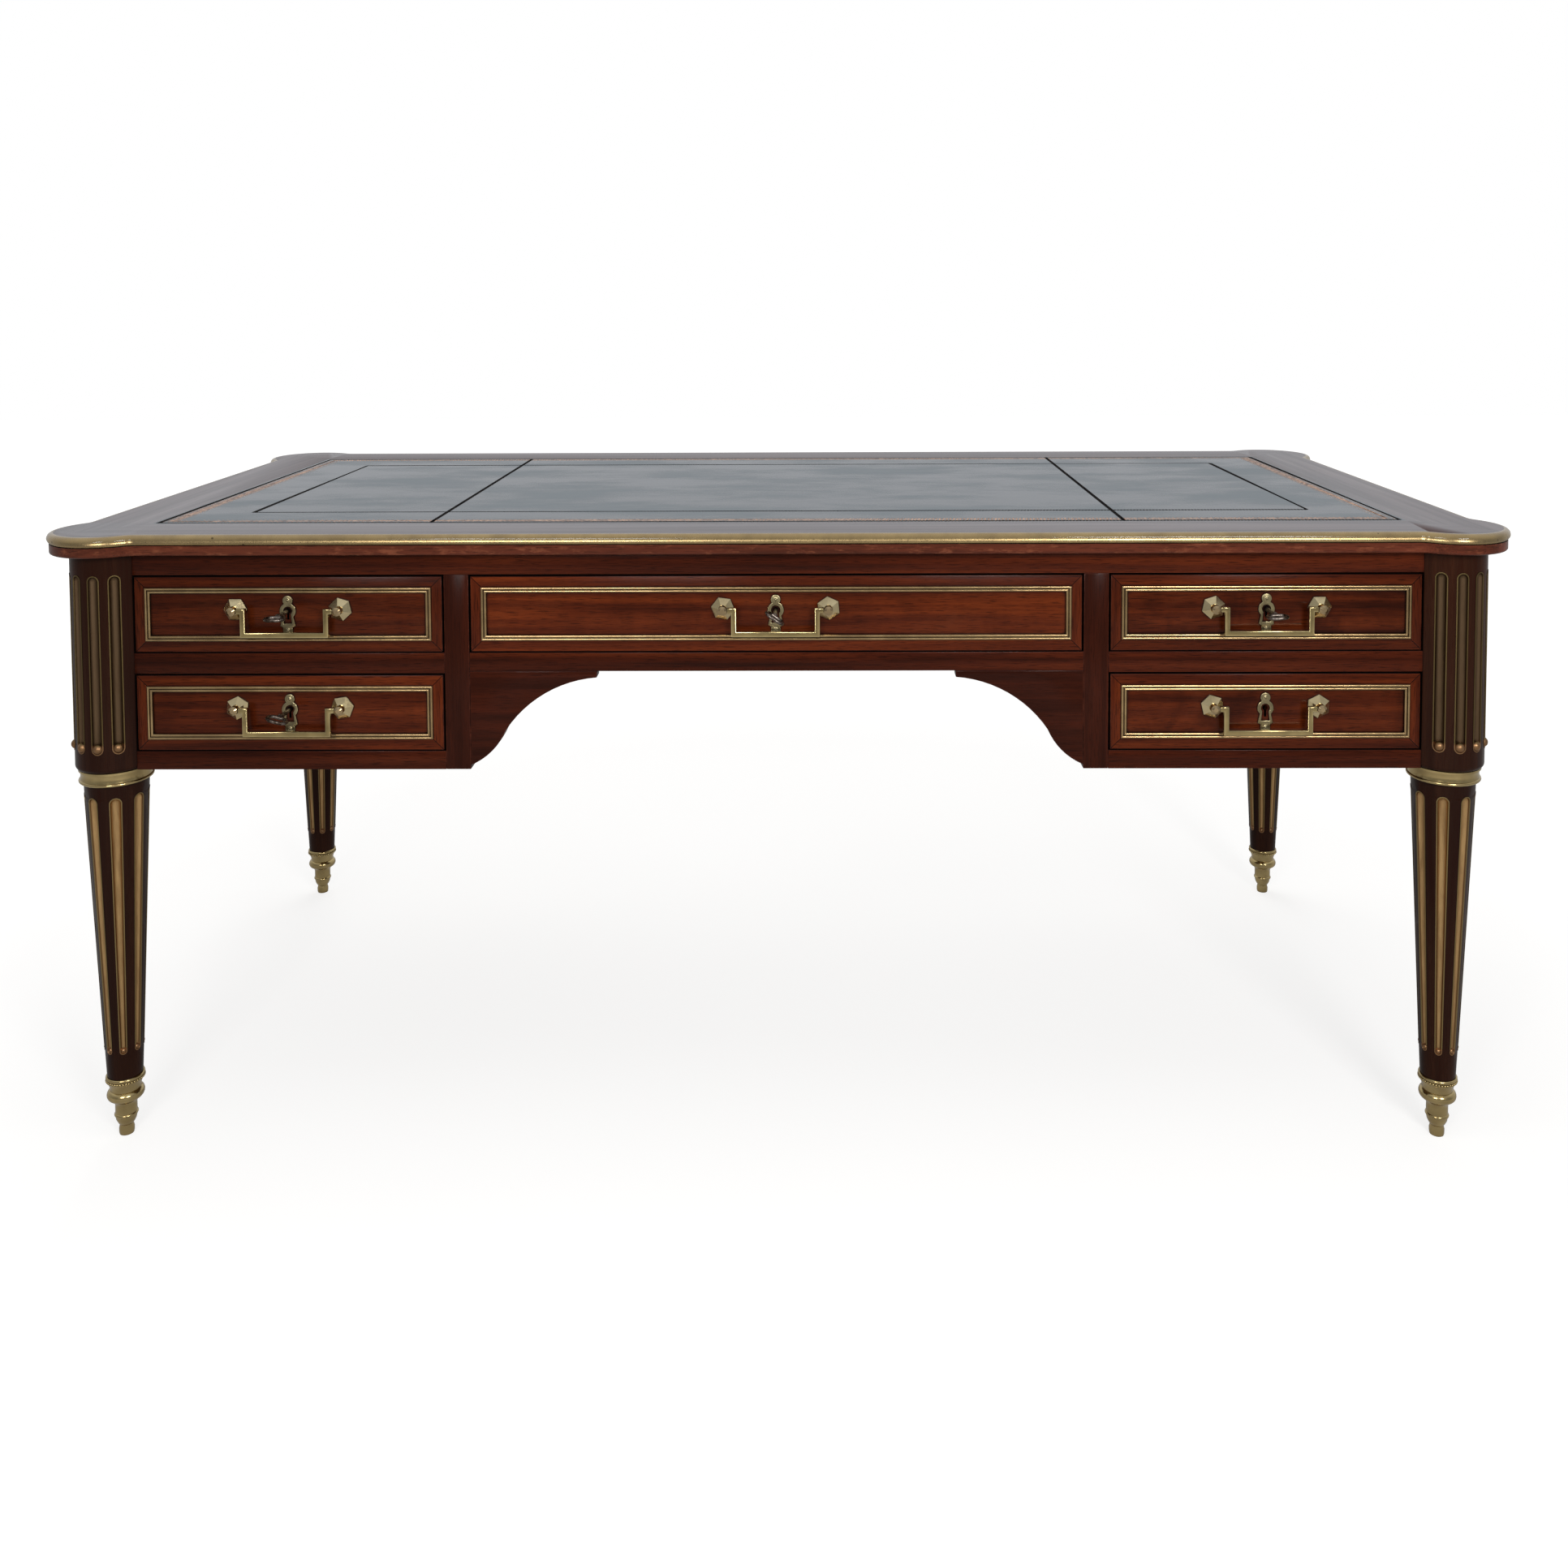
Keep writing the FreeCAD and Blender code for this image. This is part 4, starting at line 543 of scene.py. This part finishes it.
def drawn_lines(name, lines):
    """Straight-sided curves through lists of points on the leather, each closed or open."""
    curve = bpy.data.curves.new(name, "CURVE")
    curve.dimensions = "3D"
    for points, closed in lines:
        spline = curve.splines.new("POLY")
        spline.points.add(len(points) - 1)
        for point, (x, y) in zip(spline.points, points):
            point.co = (x, y, LEATHER_HIGH.z, 1.0)
        spline.use_cyclic_u = closed
    return curve


def rectangle(half_x, half_y):
    """The corners of a rectangle about the middle of the desk, as a closed line."""
    return [(-half_x, -half_y), (half_x, -half_y), (half_x, half_y), (-half_x, half_y)], True


def tree_with(name, inputs):
    """A geometry tree with inputs named by kind, what they give, and its output node."""
    tree = bpy.data.node_groups.new(name, "GeometryNodeTree")
    for kind, labels in inputs.items():
        for label in labels:
            tree.interface.new_socket(name=label, in_out="INPUT", socket_type="NodeSocket" + kind)
    tree.interface.new_socket(name="Geometry", in_out="OUTPUT", socket_type="NodeSocketGeometry")
    given = add(tree, "NodeGroupInput", out=None)
    result = add(tree, "NodeGroupOutput", out=None)
    return tree, given.outputs, result


class DESK_OT_top(bpy.types.Operator):
    """Finishes the mahogany top with its mitred border and worn lip"""

    bl_idname = "desk.top"
    bl_label = "Mahogany top"

    def execute(self, context):
        c = context.scene.desk_colours
        banding = ("X", "Y", 0.0, 0.0, TOP_HIGH.x, TOP_HIGH.y, TOP_BORDER)
        tones = wood_tones(c, "top")
        wood = polished_mahogany(
            "Polished mahogany top", "X", tones, 0.3, banding=banding, gloss=0.5, polish=0.3, rough=0.34
        )
        tones = wood_tones(c, "lip")
        # the lip is painted a little darker towards the left end as shade
        lip = polished_mahogany(
            "Rubbed mahogany lip", "X", tones, 0.9,
            wear=tuple(c.rubbed), gloss=0.15, polish=0.1, painted_light_and_tone=(0.85, 1.0),
        )
        board = softened("top_board", "carcass", context.scene.desk_sizes.edge_wear, BOARD_EDGE, wood, lip)
        # the flat of the top is polished, and its sides and underside are rubbed
        for face in board.data.polygons:
            face.material_index = 0 if face.normal.z > 0.5 else 1
        return {"FINISHED"}


class DESK_OT_carcass(bpy.types.Operator):
    """Finishes the rails, stiles, brackets, panels and legs"""

    bl_idname = "desk.carcass"
    bl_label = "Mahogany carcass"

    def execute(self, context):
        c = context.scene.desk_colours
        radius = context.scene.desk_sizes.edge_wear
        rail, stile, leg = (wood_tones(c, kind) for kind in ("rail", "stile", "leg"))
        # the rails are painted darker towards the left end as shade, and darker towards the bottom
        level = polished_mahogany(
            "Polished mahogany rails", "X", rail, 0.1, painted_light_and_tone=(0.72, 1.14), rise=(0.74, 1.0)
        )
        upright = polished_mahogany("Polished mahogany stiles", "Z", stile, 0.5)
        sawn = polished_mahogany("Polished mahogany brackets", "X", stile, 0.8)
        deep = polished_mahogany("Polished mahogany ends", "Y", stile, 0.7)
        edge = worn_edges(c, "Worn mahogany edges")
        for node, shortest, wood in (
            ("front_rails", BOARD_EDGE, level),
            ("back_panels", BOARD_EDGE, sawn),
            ("knee_brackets", BRACKET_EDGE, sawn),
            ("stiles", BOARD_EDGE, upright),
            ("end_panels", BOARD_EDGE, deep),
        ):
            softened(node, "carcass", radius, shortest, wood, edge)
        dress(["pedestal_sides"], deep)
        dress(LEGS, polished_mahogany("Polished mahogany legs", "Z", leg, 0.2, rise=(1.0, 1.45)))
        oak = drawer_oak("Planed oak runners", "Y", tuple(c.oak), tuple(c.oak_dark))
        dress(["drawer_runners", "pedestal_bottoms"], oak)
        return {"FINISHED"}


class DESK_OT_drawers(bpy.types.Operator):
    """Finishes the banded drawer fronts and their oak boxes"""

    bl_idname = "desk.drawers"
    bl_label = "Drawers"

    def execute(self, context):
        c = context.scene.desk_colours
        radius = context.scene.desk_sizes.edge_wear
        oak = drawer_oak("Planed oak drawer linings", "Y", tuple(c.oak), tuple(c.oak_dark))
        tones = [*wood_tones(c, "drawer"), tuple(c.flame)]
        edge = worn_edges(c, "Worn mahogany drawer edges")
        # how strongly each front is figured, and how deep its colour is: partly the wood's own tone, partly
        # painted shade that darkens the fronts where less light falls, most on the left
        fronts = {
            "upper_left": (0.25, 0.8),
            "lower_left": (0.25, 0.92),
            "centre": (0.25, 1.12),
            "upper_right": (0.5, 0.84),
            "lower_right": (0.5, 0.88),
        }
        for index, name in enumerate(DRAWERS):
            figure, depth = fronts[name]
            low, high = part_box(name + "_drawer_front")
            middle = (low + high) / 2
            half = (high - low) / 2
            banding = ("X", "Z", middle.x, middle.z, half.x, half.z, DRAWER_BORDER)
            label = "Figured mahogany " + name.replace("_", " ")
            shift = 0.37 * (index + 1)
            painted_light_and_tone = (depth, depth)
            wood = polished_mahogany(label, "X", tones, shift, figure, banding, painted_light_and_tone=painted_light_and_tone)
            softened(name + "_drawer_front", name + "_drawer", radius, BOARD_EDGE, wood, edge)
            dress([name + "_drawer_box"], oak)
        return {"FINISHED"}


class DESK_OT_edge(bpy.types.Operator):
    """Finishes the brass edge of the top"""

    bl_idname = "desk.edge"
    bl_label = "Brass edge"

    def execute(self, context):
        grime = tuple(context.scene.desk_colours.grime)
        bright, dull = linear("ad9466"), linear("8f7954")
        brass = aged_brass("Worn drawn brass edge", bright, dull, grime, 0.28, 0.4, pits=0.7, lean=0.45)
        dress(["edge_lengths", "edge_ears"], brass)
        return {"FINISHED"}


class DESK_OT_leg_mounts(bpy.types.Operator):
    """Finishes the collars, foot cups and flute linings of the legs"""

    bl_idname = "desk.leg_mounts"
    bl_label = "Leg mounts"

    def execute(self, context):
        c = context.scene.desk_colours
        brass, dull, grime, copper = (tuple(tone) for tone in (c.brass, c.brass_dull, c.grime, c.copper))
        turned = aged_brass("Turned brass leg mounts", brass, dull, grime, 0.18, 0.35)
        dress(["leg_collars", "leg_sabots"], turned)
        # each kind of flute: floor, side and rim, with the side painted darker as shade, the wood's radius at
        # foot and top, pearl and roughness
        for kind, tones, radii, pearl, rough in (
            ("post", ("6b5640", "3f2e1f", "74623f"), (POST_R, POST_R), POST_PEARL, 0.42),
            ("leg", ("cca672", "6c4b30", "947e55"), (SHAFT_FOOT_R, SHAFT_TOP_R), LEG_PEARL, 0.4),
        ):
            node = kind + "_flute_linings"
            heights = (CUP_HIGH.z, COLLAR_FOOT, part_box(node)[0].z + pearl)
            floor, shaded_side, rim = (linear(tone) for tone in tones)
            label = "Antique brass %s flutes" % kind
            dress([node], flute_brass(label, floor, shaded_side, rim, copper, radii, heights, rough))
        return {"FINISHED"}


class DESK_OT_pearls(bpy.types.Operator):
    """Adds the rows of pearls under the rims of the foot cups"""

    bl_idname = "desk.pearls"
    bl_label = "Foot cup pearls"

    def execute(self, context):
        c = context.scene.desk_colours
        sizes = context.scene.desk_sizes
        tree, given, result = tree_with(
            "Foot cup pearl rows",
            {
                "Float": ("Pearl radius", "Ring radius", "Height", "Leg spacing X", "Leg spacing Y"),
                "Int": ("Pearls",),
                "Material": ("Brass",),
            },
        )
        around = {"Vertices": given["Pearls"], "Radius": given["Ring radius"]}
        ring = add(tree, "GeometryNodeMeshCircle", around)
        ball = {"Segments": 10, "Rings": 6, "Radius": given["Pearl radius"]}
        pearl = add(tree, "GeometryNodeMeshUVSphere", ball)
        pearl = add(tree, "GeometryNodeSetShadeSmooth", {"Geometry": pearl})
        row = add(tree, "GeometryNodeInstanceOnPoints", {"Points": ring, "Instance": pearl})
        apart = {"Size X": given["Leg spacing X"], "Size Y": given["Leg spacing Y"]}
        corners = add(tree, "GeometryNodeMeshGrid", {**apart, "Vertices X": 2, "Vertices Y": 2})
        rows = add(tree, "GeometryNodeInstanceOnPoints", {"Points": corners, "Instance": row})
        lift = add(tree, "ShaderNodeCombineXYZ", {"Z": given["Height"]})
        placed = add(tree, "GeometryNodeTransform", {"Geometry": rows, "Translation": lift})
        plain = add(tree, "GeometryNodeRealizeInstances", {"Geometry": placed})
        finished = add(tree, "GeometryNodeSetMaterial", {"Geometry": plain, "Material": given["Brass"]})
        tree.links.new(finished, result.inputs[0])
        brass = aged_brass("Chased brass pearls", tuple(c.brass), tuple(c.brass_dull), tuple(c.grime), 0.26)
        values = {"Pearl radius": sizes.pearl, "Ring radius": sizes.pearl_ring, "Pearls": sizes.pearls}
        values["Height"] = CUP_HIGH.z - PEARL_DROP
        values.update({"Leg spacing X": 2 * LEG_X, "Leg spacing Y": 2 * LEG_Y})
        pearls = realized("foot_cup_pearls", tree, {**values, "Brass": brass})
        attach(pearls, "carcass")
        return {"FINISHED"}


class DESK_OT_mouldings(bpy.types.Operator):
    """Finishes the reeded brass frames"""

    bl_idname = "desk.mouldings"
    bl_label = "Brass frames"

    def execute(self, context):
        grime = tuple(context.scene.desk_colours.grime)
        brass = aged_brass("Drawn brass reeding", linear("bd9f70"), linear("927650"), grime, 0.2, 1.0)
        dress(["panel_mouldings"] + [name + "_front_moulding" for name in DRAWERS], brass)
        return {"FINISHED"}


class DESK_OT_handles(bpy.types.Operator):
    """Finishes the rosettes, bails, keyhole plates, keys and bolts"""

    bl_idname = "desk.handles"
    bl_label = "Handles and locks"

    def execute(self, context):
        c = context.scene.desk_colours
        grime = tuple(c.grime)
        warm = ("Y", FACE_Y - STUD_BASE, FACE_Y - STUD_NOSE, linear("b59c74"))
        bright, dull = linear("e4d2a4"), linear("c9b384")
        cast = aged_brass("Cast brass rosettes", bright, dull, grime, 0.17, 0.35, warm=warm)
        rod = aged_brass("Filed brass bails", linear("b6a06c"), linear("86744c"), grime, 0.2, 0.8)
        # the bails' rounded edges are rubbed paler, and partly a painted highlight
        filed = aged_brass("Rubbed edges of bails", linear("d8c690"), linear("b09a6a"), grime, 0.2)
        plate = aged_brass("Tarnished brass keyhole plates", linear("968a66"), linear("6e6046"), grime, 0.34)
        # the keyhole plates' rounded edges are rubbed paler, and partly a painted highlight
        rubbed = aged_brass("Rubbed edges of keyhole plates", linear("c9ba8e"), linear("a4936a"), grime, 0.24)
        steel = worn_steel("Browned steel", tuple(c.steel))
        for name in DRAWERS:
            dress([name + "_rosettes"], cast)
            softened(name + "_bail", name + "_handle", BRASS_WEAR, ROD_EDGE, rod, filed)
            softened(name + "_lock", name + "_drawer", BRASS_WEAR, PLATE_EDGE, plate, rubbed)
            dress([name + "_lock_bolt"], steel)
            if name + "_key" in frame["nodes"]:
                dress([name + "_key"], steel)
        return {"FINISHED"}


class DESK_OT_leather(bpy.types.Operator):
    """Finishes the leather, its gilt border and its burnt lines"""

    bl_idname = "desk.leather"
    bl_label = "Tooled leather"

    def execute(self, context):
        c = context.scene.desk_colours
        sizes = context.scene.desk_sizes
        calf = tooled_leather("Tooled dark leather", tuple(c.leather), tuple(c.leather_worn))
        dress(["writing_leather"], calf)
        tree = self.stamp_tree()
        half_x, half_y = LEATHER_HIGH.x, LEATHER_HIGH.y
        band_x, band_y = half_x - sizes.band_inset, half_y - sizes.band_inset
        gold = gold_leaf("Rubbed gold leaf", tuple(c.gilt), linear("7a5a48"))
        burn = burnt_leather("Burnt leather", tuple(c.tooling))
        reach = half_y - ROPE_INSET
        band = [rectangle(band_x, band_y)]
        fillets = [rectangle(band_x + step, band_y + step) for step in (-FILLET_STEP, FILLET_STEP)]
        rope = [rectangle(half_x - ROPE_INSET, reach), rectangle(PANEL_X, PANEL_Y)]
        rope += [([(x, -reach), (x, reach)], False) for x in (-CROSS_LINE_X, CROSS_LINE_X)]
        # the pitch, length and width of each stamp, and its turn from the line in degrees
        for name, lines, material, pitch, long, wide, turn in (
            ("gilt_border_stamps", band, gold, sizes.stamp_pitch, 13.5 * MM, 3.0 * MM, 62.0),
            ("gilt_border_fillets", fillets, gold, 6.0 * MM, 6.2 * MM, 1.0 * MM, 0.0),
            ("burnt_rope_lines", rope, burn, 4.2 * MM, 7.6 * MM, 4.2 * MM, 40.0),
        ):
            values = {"Pitch": pitch, "Stamp length": long, "Stamp width": wide, "Turn": math.radians(turn)}
            piece = realized(name, tree, {**values, "Finish": material}, drawn_lines(name, lines))
            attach(piece, "carcass")
        return {"FINISHED"}

    def stamp_tree(self):
        """A tree that repeats an oval stamp along the lines of a curve."""
        tree, given, result = tree_with(
            "Leather stamps",
            {
                "Geometry": ("Lines",),
                "Float": ("Pitch", "Stamp length", "Stamp width", "Turn"),
                "Material": ("Finish",),
            },
        )
        spaced = {"Curve": given["Lines"], "Length": given["Pitch"]}
        spots = add(tree, "GeometryNodeCurveToPoints", spaced, out=None, mode="LENGTH").outputs
        oval = add(tree, "GeometryNodeMeshCylinder", {"Vertices": 10, "Radius": 0.5, "Depth": STAMP_THICK})
        spread = {"X": given["Stamp length"], "Y": given["Stamp width"], "Z": 1.0}
        scale = add(tree, "ShaderNodeCombineXYZ", spread)
        oval = add(tree, "GeometryNodeTransform", {"Geometry": oval, "Scale": scale})
        turn = add(tree, "ShaderNodeCombineXYZ", {"Z": given["Turn"]})
        oval = add(tree, "GeometryNodeTransform", {"Geometry": oval, "Rotation": turn})
        ahead = {"Vector": spots[1]}
        facing = add(tree, "FunctionNodeAlignRotationToVector", ahead, axis="X", pivot_axis="Z")
        laid = {"Points": spots[0], "Instance": oval, "Rotation": facing}
        stamps = add(tree, "GeometryNodeInstanceOnPoints", laid)
        plain = add(tree, "GeometryNodeRealizeInstances", {"Geometry": stamps})
        finished = add(tree, "GeometryNodeSetMaterial", {"Geometry": plain, "Material": given["Finish"]})
        tree.links.new(finished, result.inputs[0])
        return tree


class DESK_OT_stage(bpy.types.Operator):
    """Sets the floor, the studio light and the camera"""

    bl_idname = "desk.stage"
    bl_label = "Stage"

    def execute(self, context):
        scene = context.scene
        scene.view_settings.view_transform = "Standard"
        self.floor(scene)
        self.world(scene)
        # twin lamps that the top doesn't mirror give it the front light, so no glare hides it from behind
        shaded = self.top_pieces("Flagged from the front lamps", "EXCLUDE")
        lit = self.top_pieces("Lit by the twin lamps", "INCLUDE")
        front_size = 0.7
        for name, place, power in (
            ("Right softbox", (1.1, -2.6, 1.55), 32.0),
            ("Left softbox", (-0.7, -2.6, 1.45), 20.0),
        ):
            self.lamp(scene, name, place, front_size, power).light_linking.receiver_collection = shaded
            twin = self.lamp(scene, name + " twin", place, front_size, power)
            twin.visible_glossy = False
            twin.light_linking.receiver_collection = lit
        # the large lamps light the desk, and the studio's own walls are what its metal shows
        self.lamp(scene, "Overhead softbox", (0.0, -0.3, 3.2), 2.4, 26.0).visible_glossy = False
        self.lamp(scene, "Back softbox", (-0.4, 2.1, 3.7), 2.2, 34.0).visible_glossy = False
        self.camera(scene)
        return {"FINISHED"}

    def top_pieces(self, name, state):
        """A list of the top's pieces for the lamps that light it or leave it out."""
        pieces = bpy.data.collections.new(name)
        pieces.objects.link(frame["nodes"]["writing_leather"])
        for piece in TOP_PIECES:
            pieces.objects.link(bpy.data.objects[piece])
        for member in pieces.collection_objects:
            member.light_linking.link_state = state
        return pieces

    def rays(self, tree):
        """Tells the rays that the camera sees straight, and those that metal or glass have turned."""
        ray = add(tree, "ShaderNodeLightPath", out=None).outputs
        turned = {0: ray["Is Glossy Ray"], 1: ray["Is Transmission Ray"]}
        return ray["Is Camera Ray"], add(tree, "ShaderNodeMath", turned, operation="MAXIMUM")

    def floor(self, scene):
        """A pale floor that stays white to the camera and keeps the desk's shadow."""
        mesh = bpy.data.meshes.new("studio_floor")
        reach = 9.0
        # just under the feet, so that the two faces don't flicker
        z = -0.2 * MM
        mesh.from_pydata([(x, y, z) for x, y in rectangle(reach, reach)[0]], [], [(0, 1, 2, 3)])
        floor = bpy.data.objects.new("studio_floor", mesh)
        scene.collection.objects.link(floor)
        material, tree, output, place = new_material("Pale studio floor")
        camera, shiny = self.rays(tree)
        away = add(tree, "ShaderNodeVectorMath", {0: place}, out=1, operation="LENGTH")
        glow = add(tree, "ShaderNodeMapRange", {0: away, 1: 1.2, 2: 3.5, 3: 0.74, 4: 1.0})
        shown = add(tree, "ShaderNodeMath", {0: shiny, 1: 0.2}, operation="MULTIPLY")
        shown = add(tree, "ShaderNodeMath", {0: camera, 1: shown}, operation="MAXIMUM")
        glow = add(tree, "ShaderNodeMath", {0: shown, 1: glow}, operation="MULTIPLY")
        finish = {"Base Color": linear("a3a2a0"), "Roughness": 0.9, "Specular IOR Level": 0.0}
        finish.update({"Emission Color": linear("ffffff"), "Emission Strength": glow})
        tree.links.new(add(tree, "ShaderNodeBsdfPrincipled", finish), output.inputs[0])
        mesh.materials.append(material)

    def world(self, scene):
        """Soft light all round, white behind the desk and dimmer behind the camera."""
        world = bpy.data.worlds.new("Studio")
        scene.world = world
        world.use_nodes = True
        tree = world.node_tree
        tree.nodes.clear()
        camera, shiny = self.rays(tree)
        way = add(tree, "ShaderNodeTexCoord", out=0)
        split = add(tree, "ShaderNodeSeparateXYZ", {0: way}, out=None)
        rise = add(tree, "ShaderNodeMapRange", {0: split.outputs[2], 1: 0.45, 2: 0.9, 3: 0.0, 4: 0.4})
        back = add(tree, "ShaderNodeMapRange", {0: split.outputs[1], 1: -0.5, 2: 0.8, 3: 0.31, 4: 0.8})
        studio = add(tree, "ShaderNodeMath", {0: rise, 1: back}, operation="ADD", use_clamp=True)
        strength = add(tree, "ShaderNodeMix", {0: shiny, 2: 0.35, 3: studio}, data_type="FLOAT")
        strength = add(tree, "ShaderNodeMix", {0: camera, 2: strength, 3: 1.0}, data_type="FLOAT")
        white, cool = linear("ffffff"), linear("eef1f6")
        tint = add(tree, "ShaderNodeMix", {0: shiny, 6: white, 7: cool}, out=2, data_type="RGBA")
        light = add(tree, "ShaderNodeBackground", {"Color": tint, "Strength": strength})
        add(tree, "ShaderNodeOutputWorld", {"Surface": light}, out=None)

    def lamp(self, scene, name, place, size, power):
        """A square softbox aimed at the desk."""
        data = bpy.data.lights.new(name, "AREA")
        data.shape = "SQUARE"
        data.size = size
        data.energy = power
        lamp = bpy.data.objects.new(name, data)
        scene.collection.objects.link(lamp)
        desk_middle = Vector((0.0, 0.0, 0.5))
        aim = desk_middle - Vector(place)
        lamp.matrix_world = Matrix.Translation(place) @ aim.to_track_quat("-Z", "Y").to_matrix().to_4x4()
        return lamp

    def camera(self, scene):
        """The photograph's viewpoint, fitted to the desk's own points."""
        # focal length and vanishing centre in the photograph's pixels, turns in degrees, place in metres
        image = 1932.0
        focal, centre_x, centre_y = 1791.24, 996.80, 434.16
        yaw, pitch, roll = (math.radians(a) for a in (0.51, 2.89, -0.24))
        place = (0.05721, -2.13067, 1.06840)
        film = 36.0
        data = bpy.data.cameras.new("Photograph camera")
        data.sensor_fit = "HORIZONTAL"
        data.sensor_width = film
        data.lens = focal * film / image
        data.shift_x = 0.5 - centre_x / image
        data.shift_y = centre_y / image - 0.5
        data.clip_end = 100.0
        camera = bpy.data.objects.new("Photograph camera", data)
        scene.collection.objects.link(camera)
        ahead = Vector((0.0, math.cos(pitch), -math.sin(pitch)))
        up = Vector((0.0, math.sin(pitch), math.cos(pitch)))
        right = Vector((1.0, 0.0, 0.0))
        tilted_right = math.cos(roll) * right + math.sin(roll) * up
        tilted_up = -math.sin(roll) * right + math.cos(roll) * up
        turn = Matrix.Rotation(yaw, 3, "Z")
        axes = Matrix((turn @ tilted_right, turn @ tilted_up, turn @ -ahead)).transposed()
        camera.matrix_world = Matrix.Translation(place) @ axes.to_4x4()
        scene.camera = camera


class DESK_PT_finish(bpy.types.Panel):
    """Lists the steps that dress the desk"""

    bl_idname = "DESK_PT_finish"
    bl_label = "Writing desk finish"
    bl_space_type = "VIEW_3D"
    bl_region_type = "UI"
    bl_category = "Desk"

    def draw(self, context):
        for step in STEPS:
            self.layout.operator(step.bl_idname)
        for name in DeskSizes.__annotations__:
            self.layout.prop(context.scene.desk_sizes, name)
        for name in DeskColours.__annotations__:
            self.layout.prop(context.scene.desk_colours, name)


STEPS = (
    DESK_OT_top,
    DESK_OT_carcass,
    DESK_OT_drawers,
    DESK_OT_edge,
    DESK_OT_leg_mounts,
    DESK_OT_pearls,
    DESK_OT_mouldings,
    DESK_OT_handles,
    DESK_OT_leather,
    DESK_OT_stage,
)
CLASSES = (DeskColours, DeskSizes, *STEPS, DESK_PT_finish)


def register():
    """Registers the classes and their settings."""
    for item in CLASSES:
        bpy.utils.register_class(item)
    bpy.types.Scene.desk_colours = bpy.props.PointerProperty(type=DeskColours)
    bpy.types.Scene.desk_sizes = bpy.props.PointerProperty(type=DeskSizes)


def unregister():
    """Removes the classes and their settings."""
    del bpy.types.Scene.desk_sizes
    del bpy.types.Scene.desk_colours
    for item in reversed(CLASSES):
        bpy.utils.unregister_class(item)


def main():
    """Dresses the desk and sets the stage."""
    register()
    bpy.ops.desk.top()
    bpy.ops.desk.carcass()
    bpy.ops.desk.drawers()
    bpy.ops.desk.edge()
    bpy.ops.desk.leg_mounts()
    bpy.ops.desk.pearls()
    bpy.ops.desk.mouldings()
    bpy.ops.desk.handles()
    bpy.ops.desk.leather()
    bpy.ops.desk.stage()


if __name__ == "__main__":
    main()
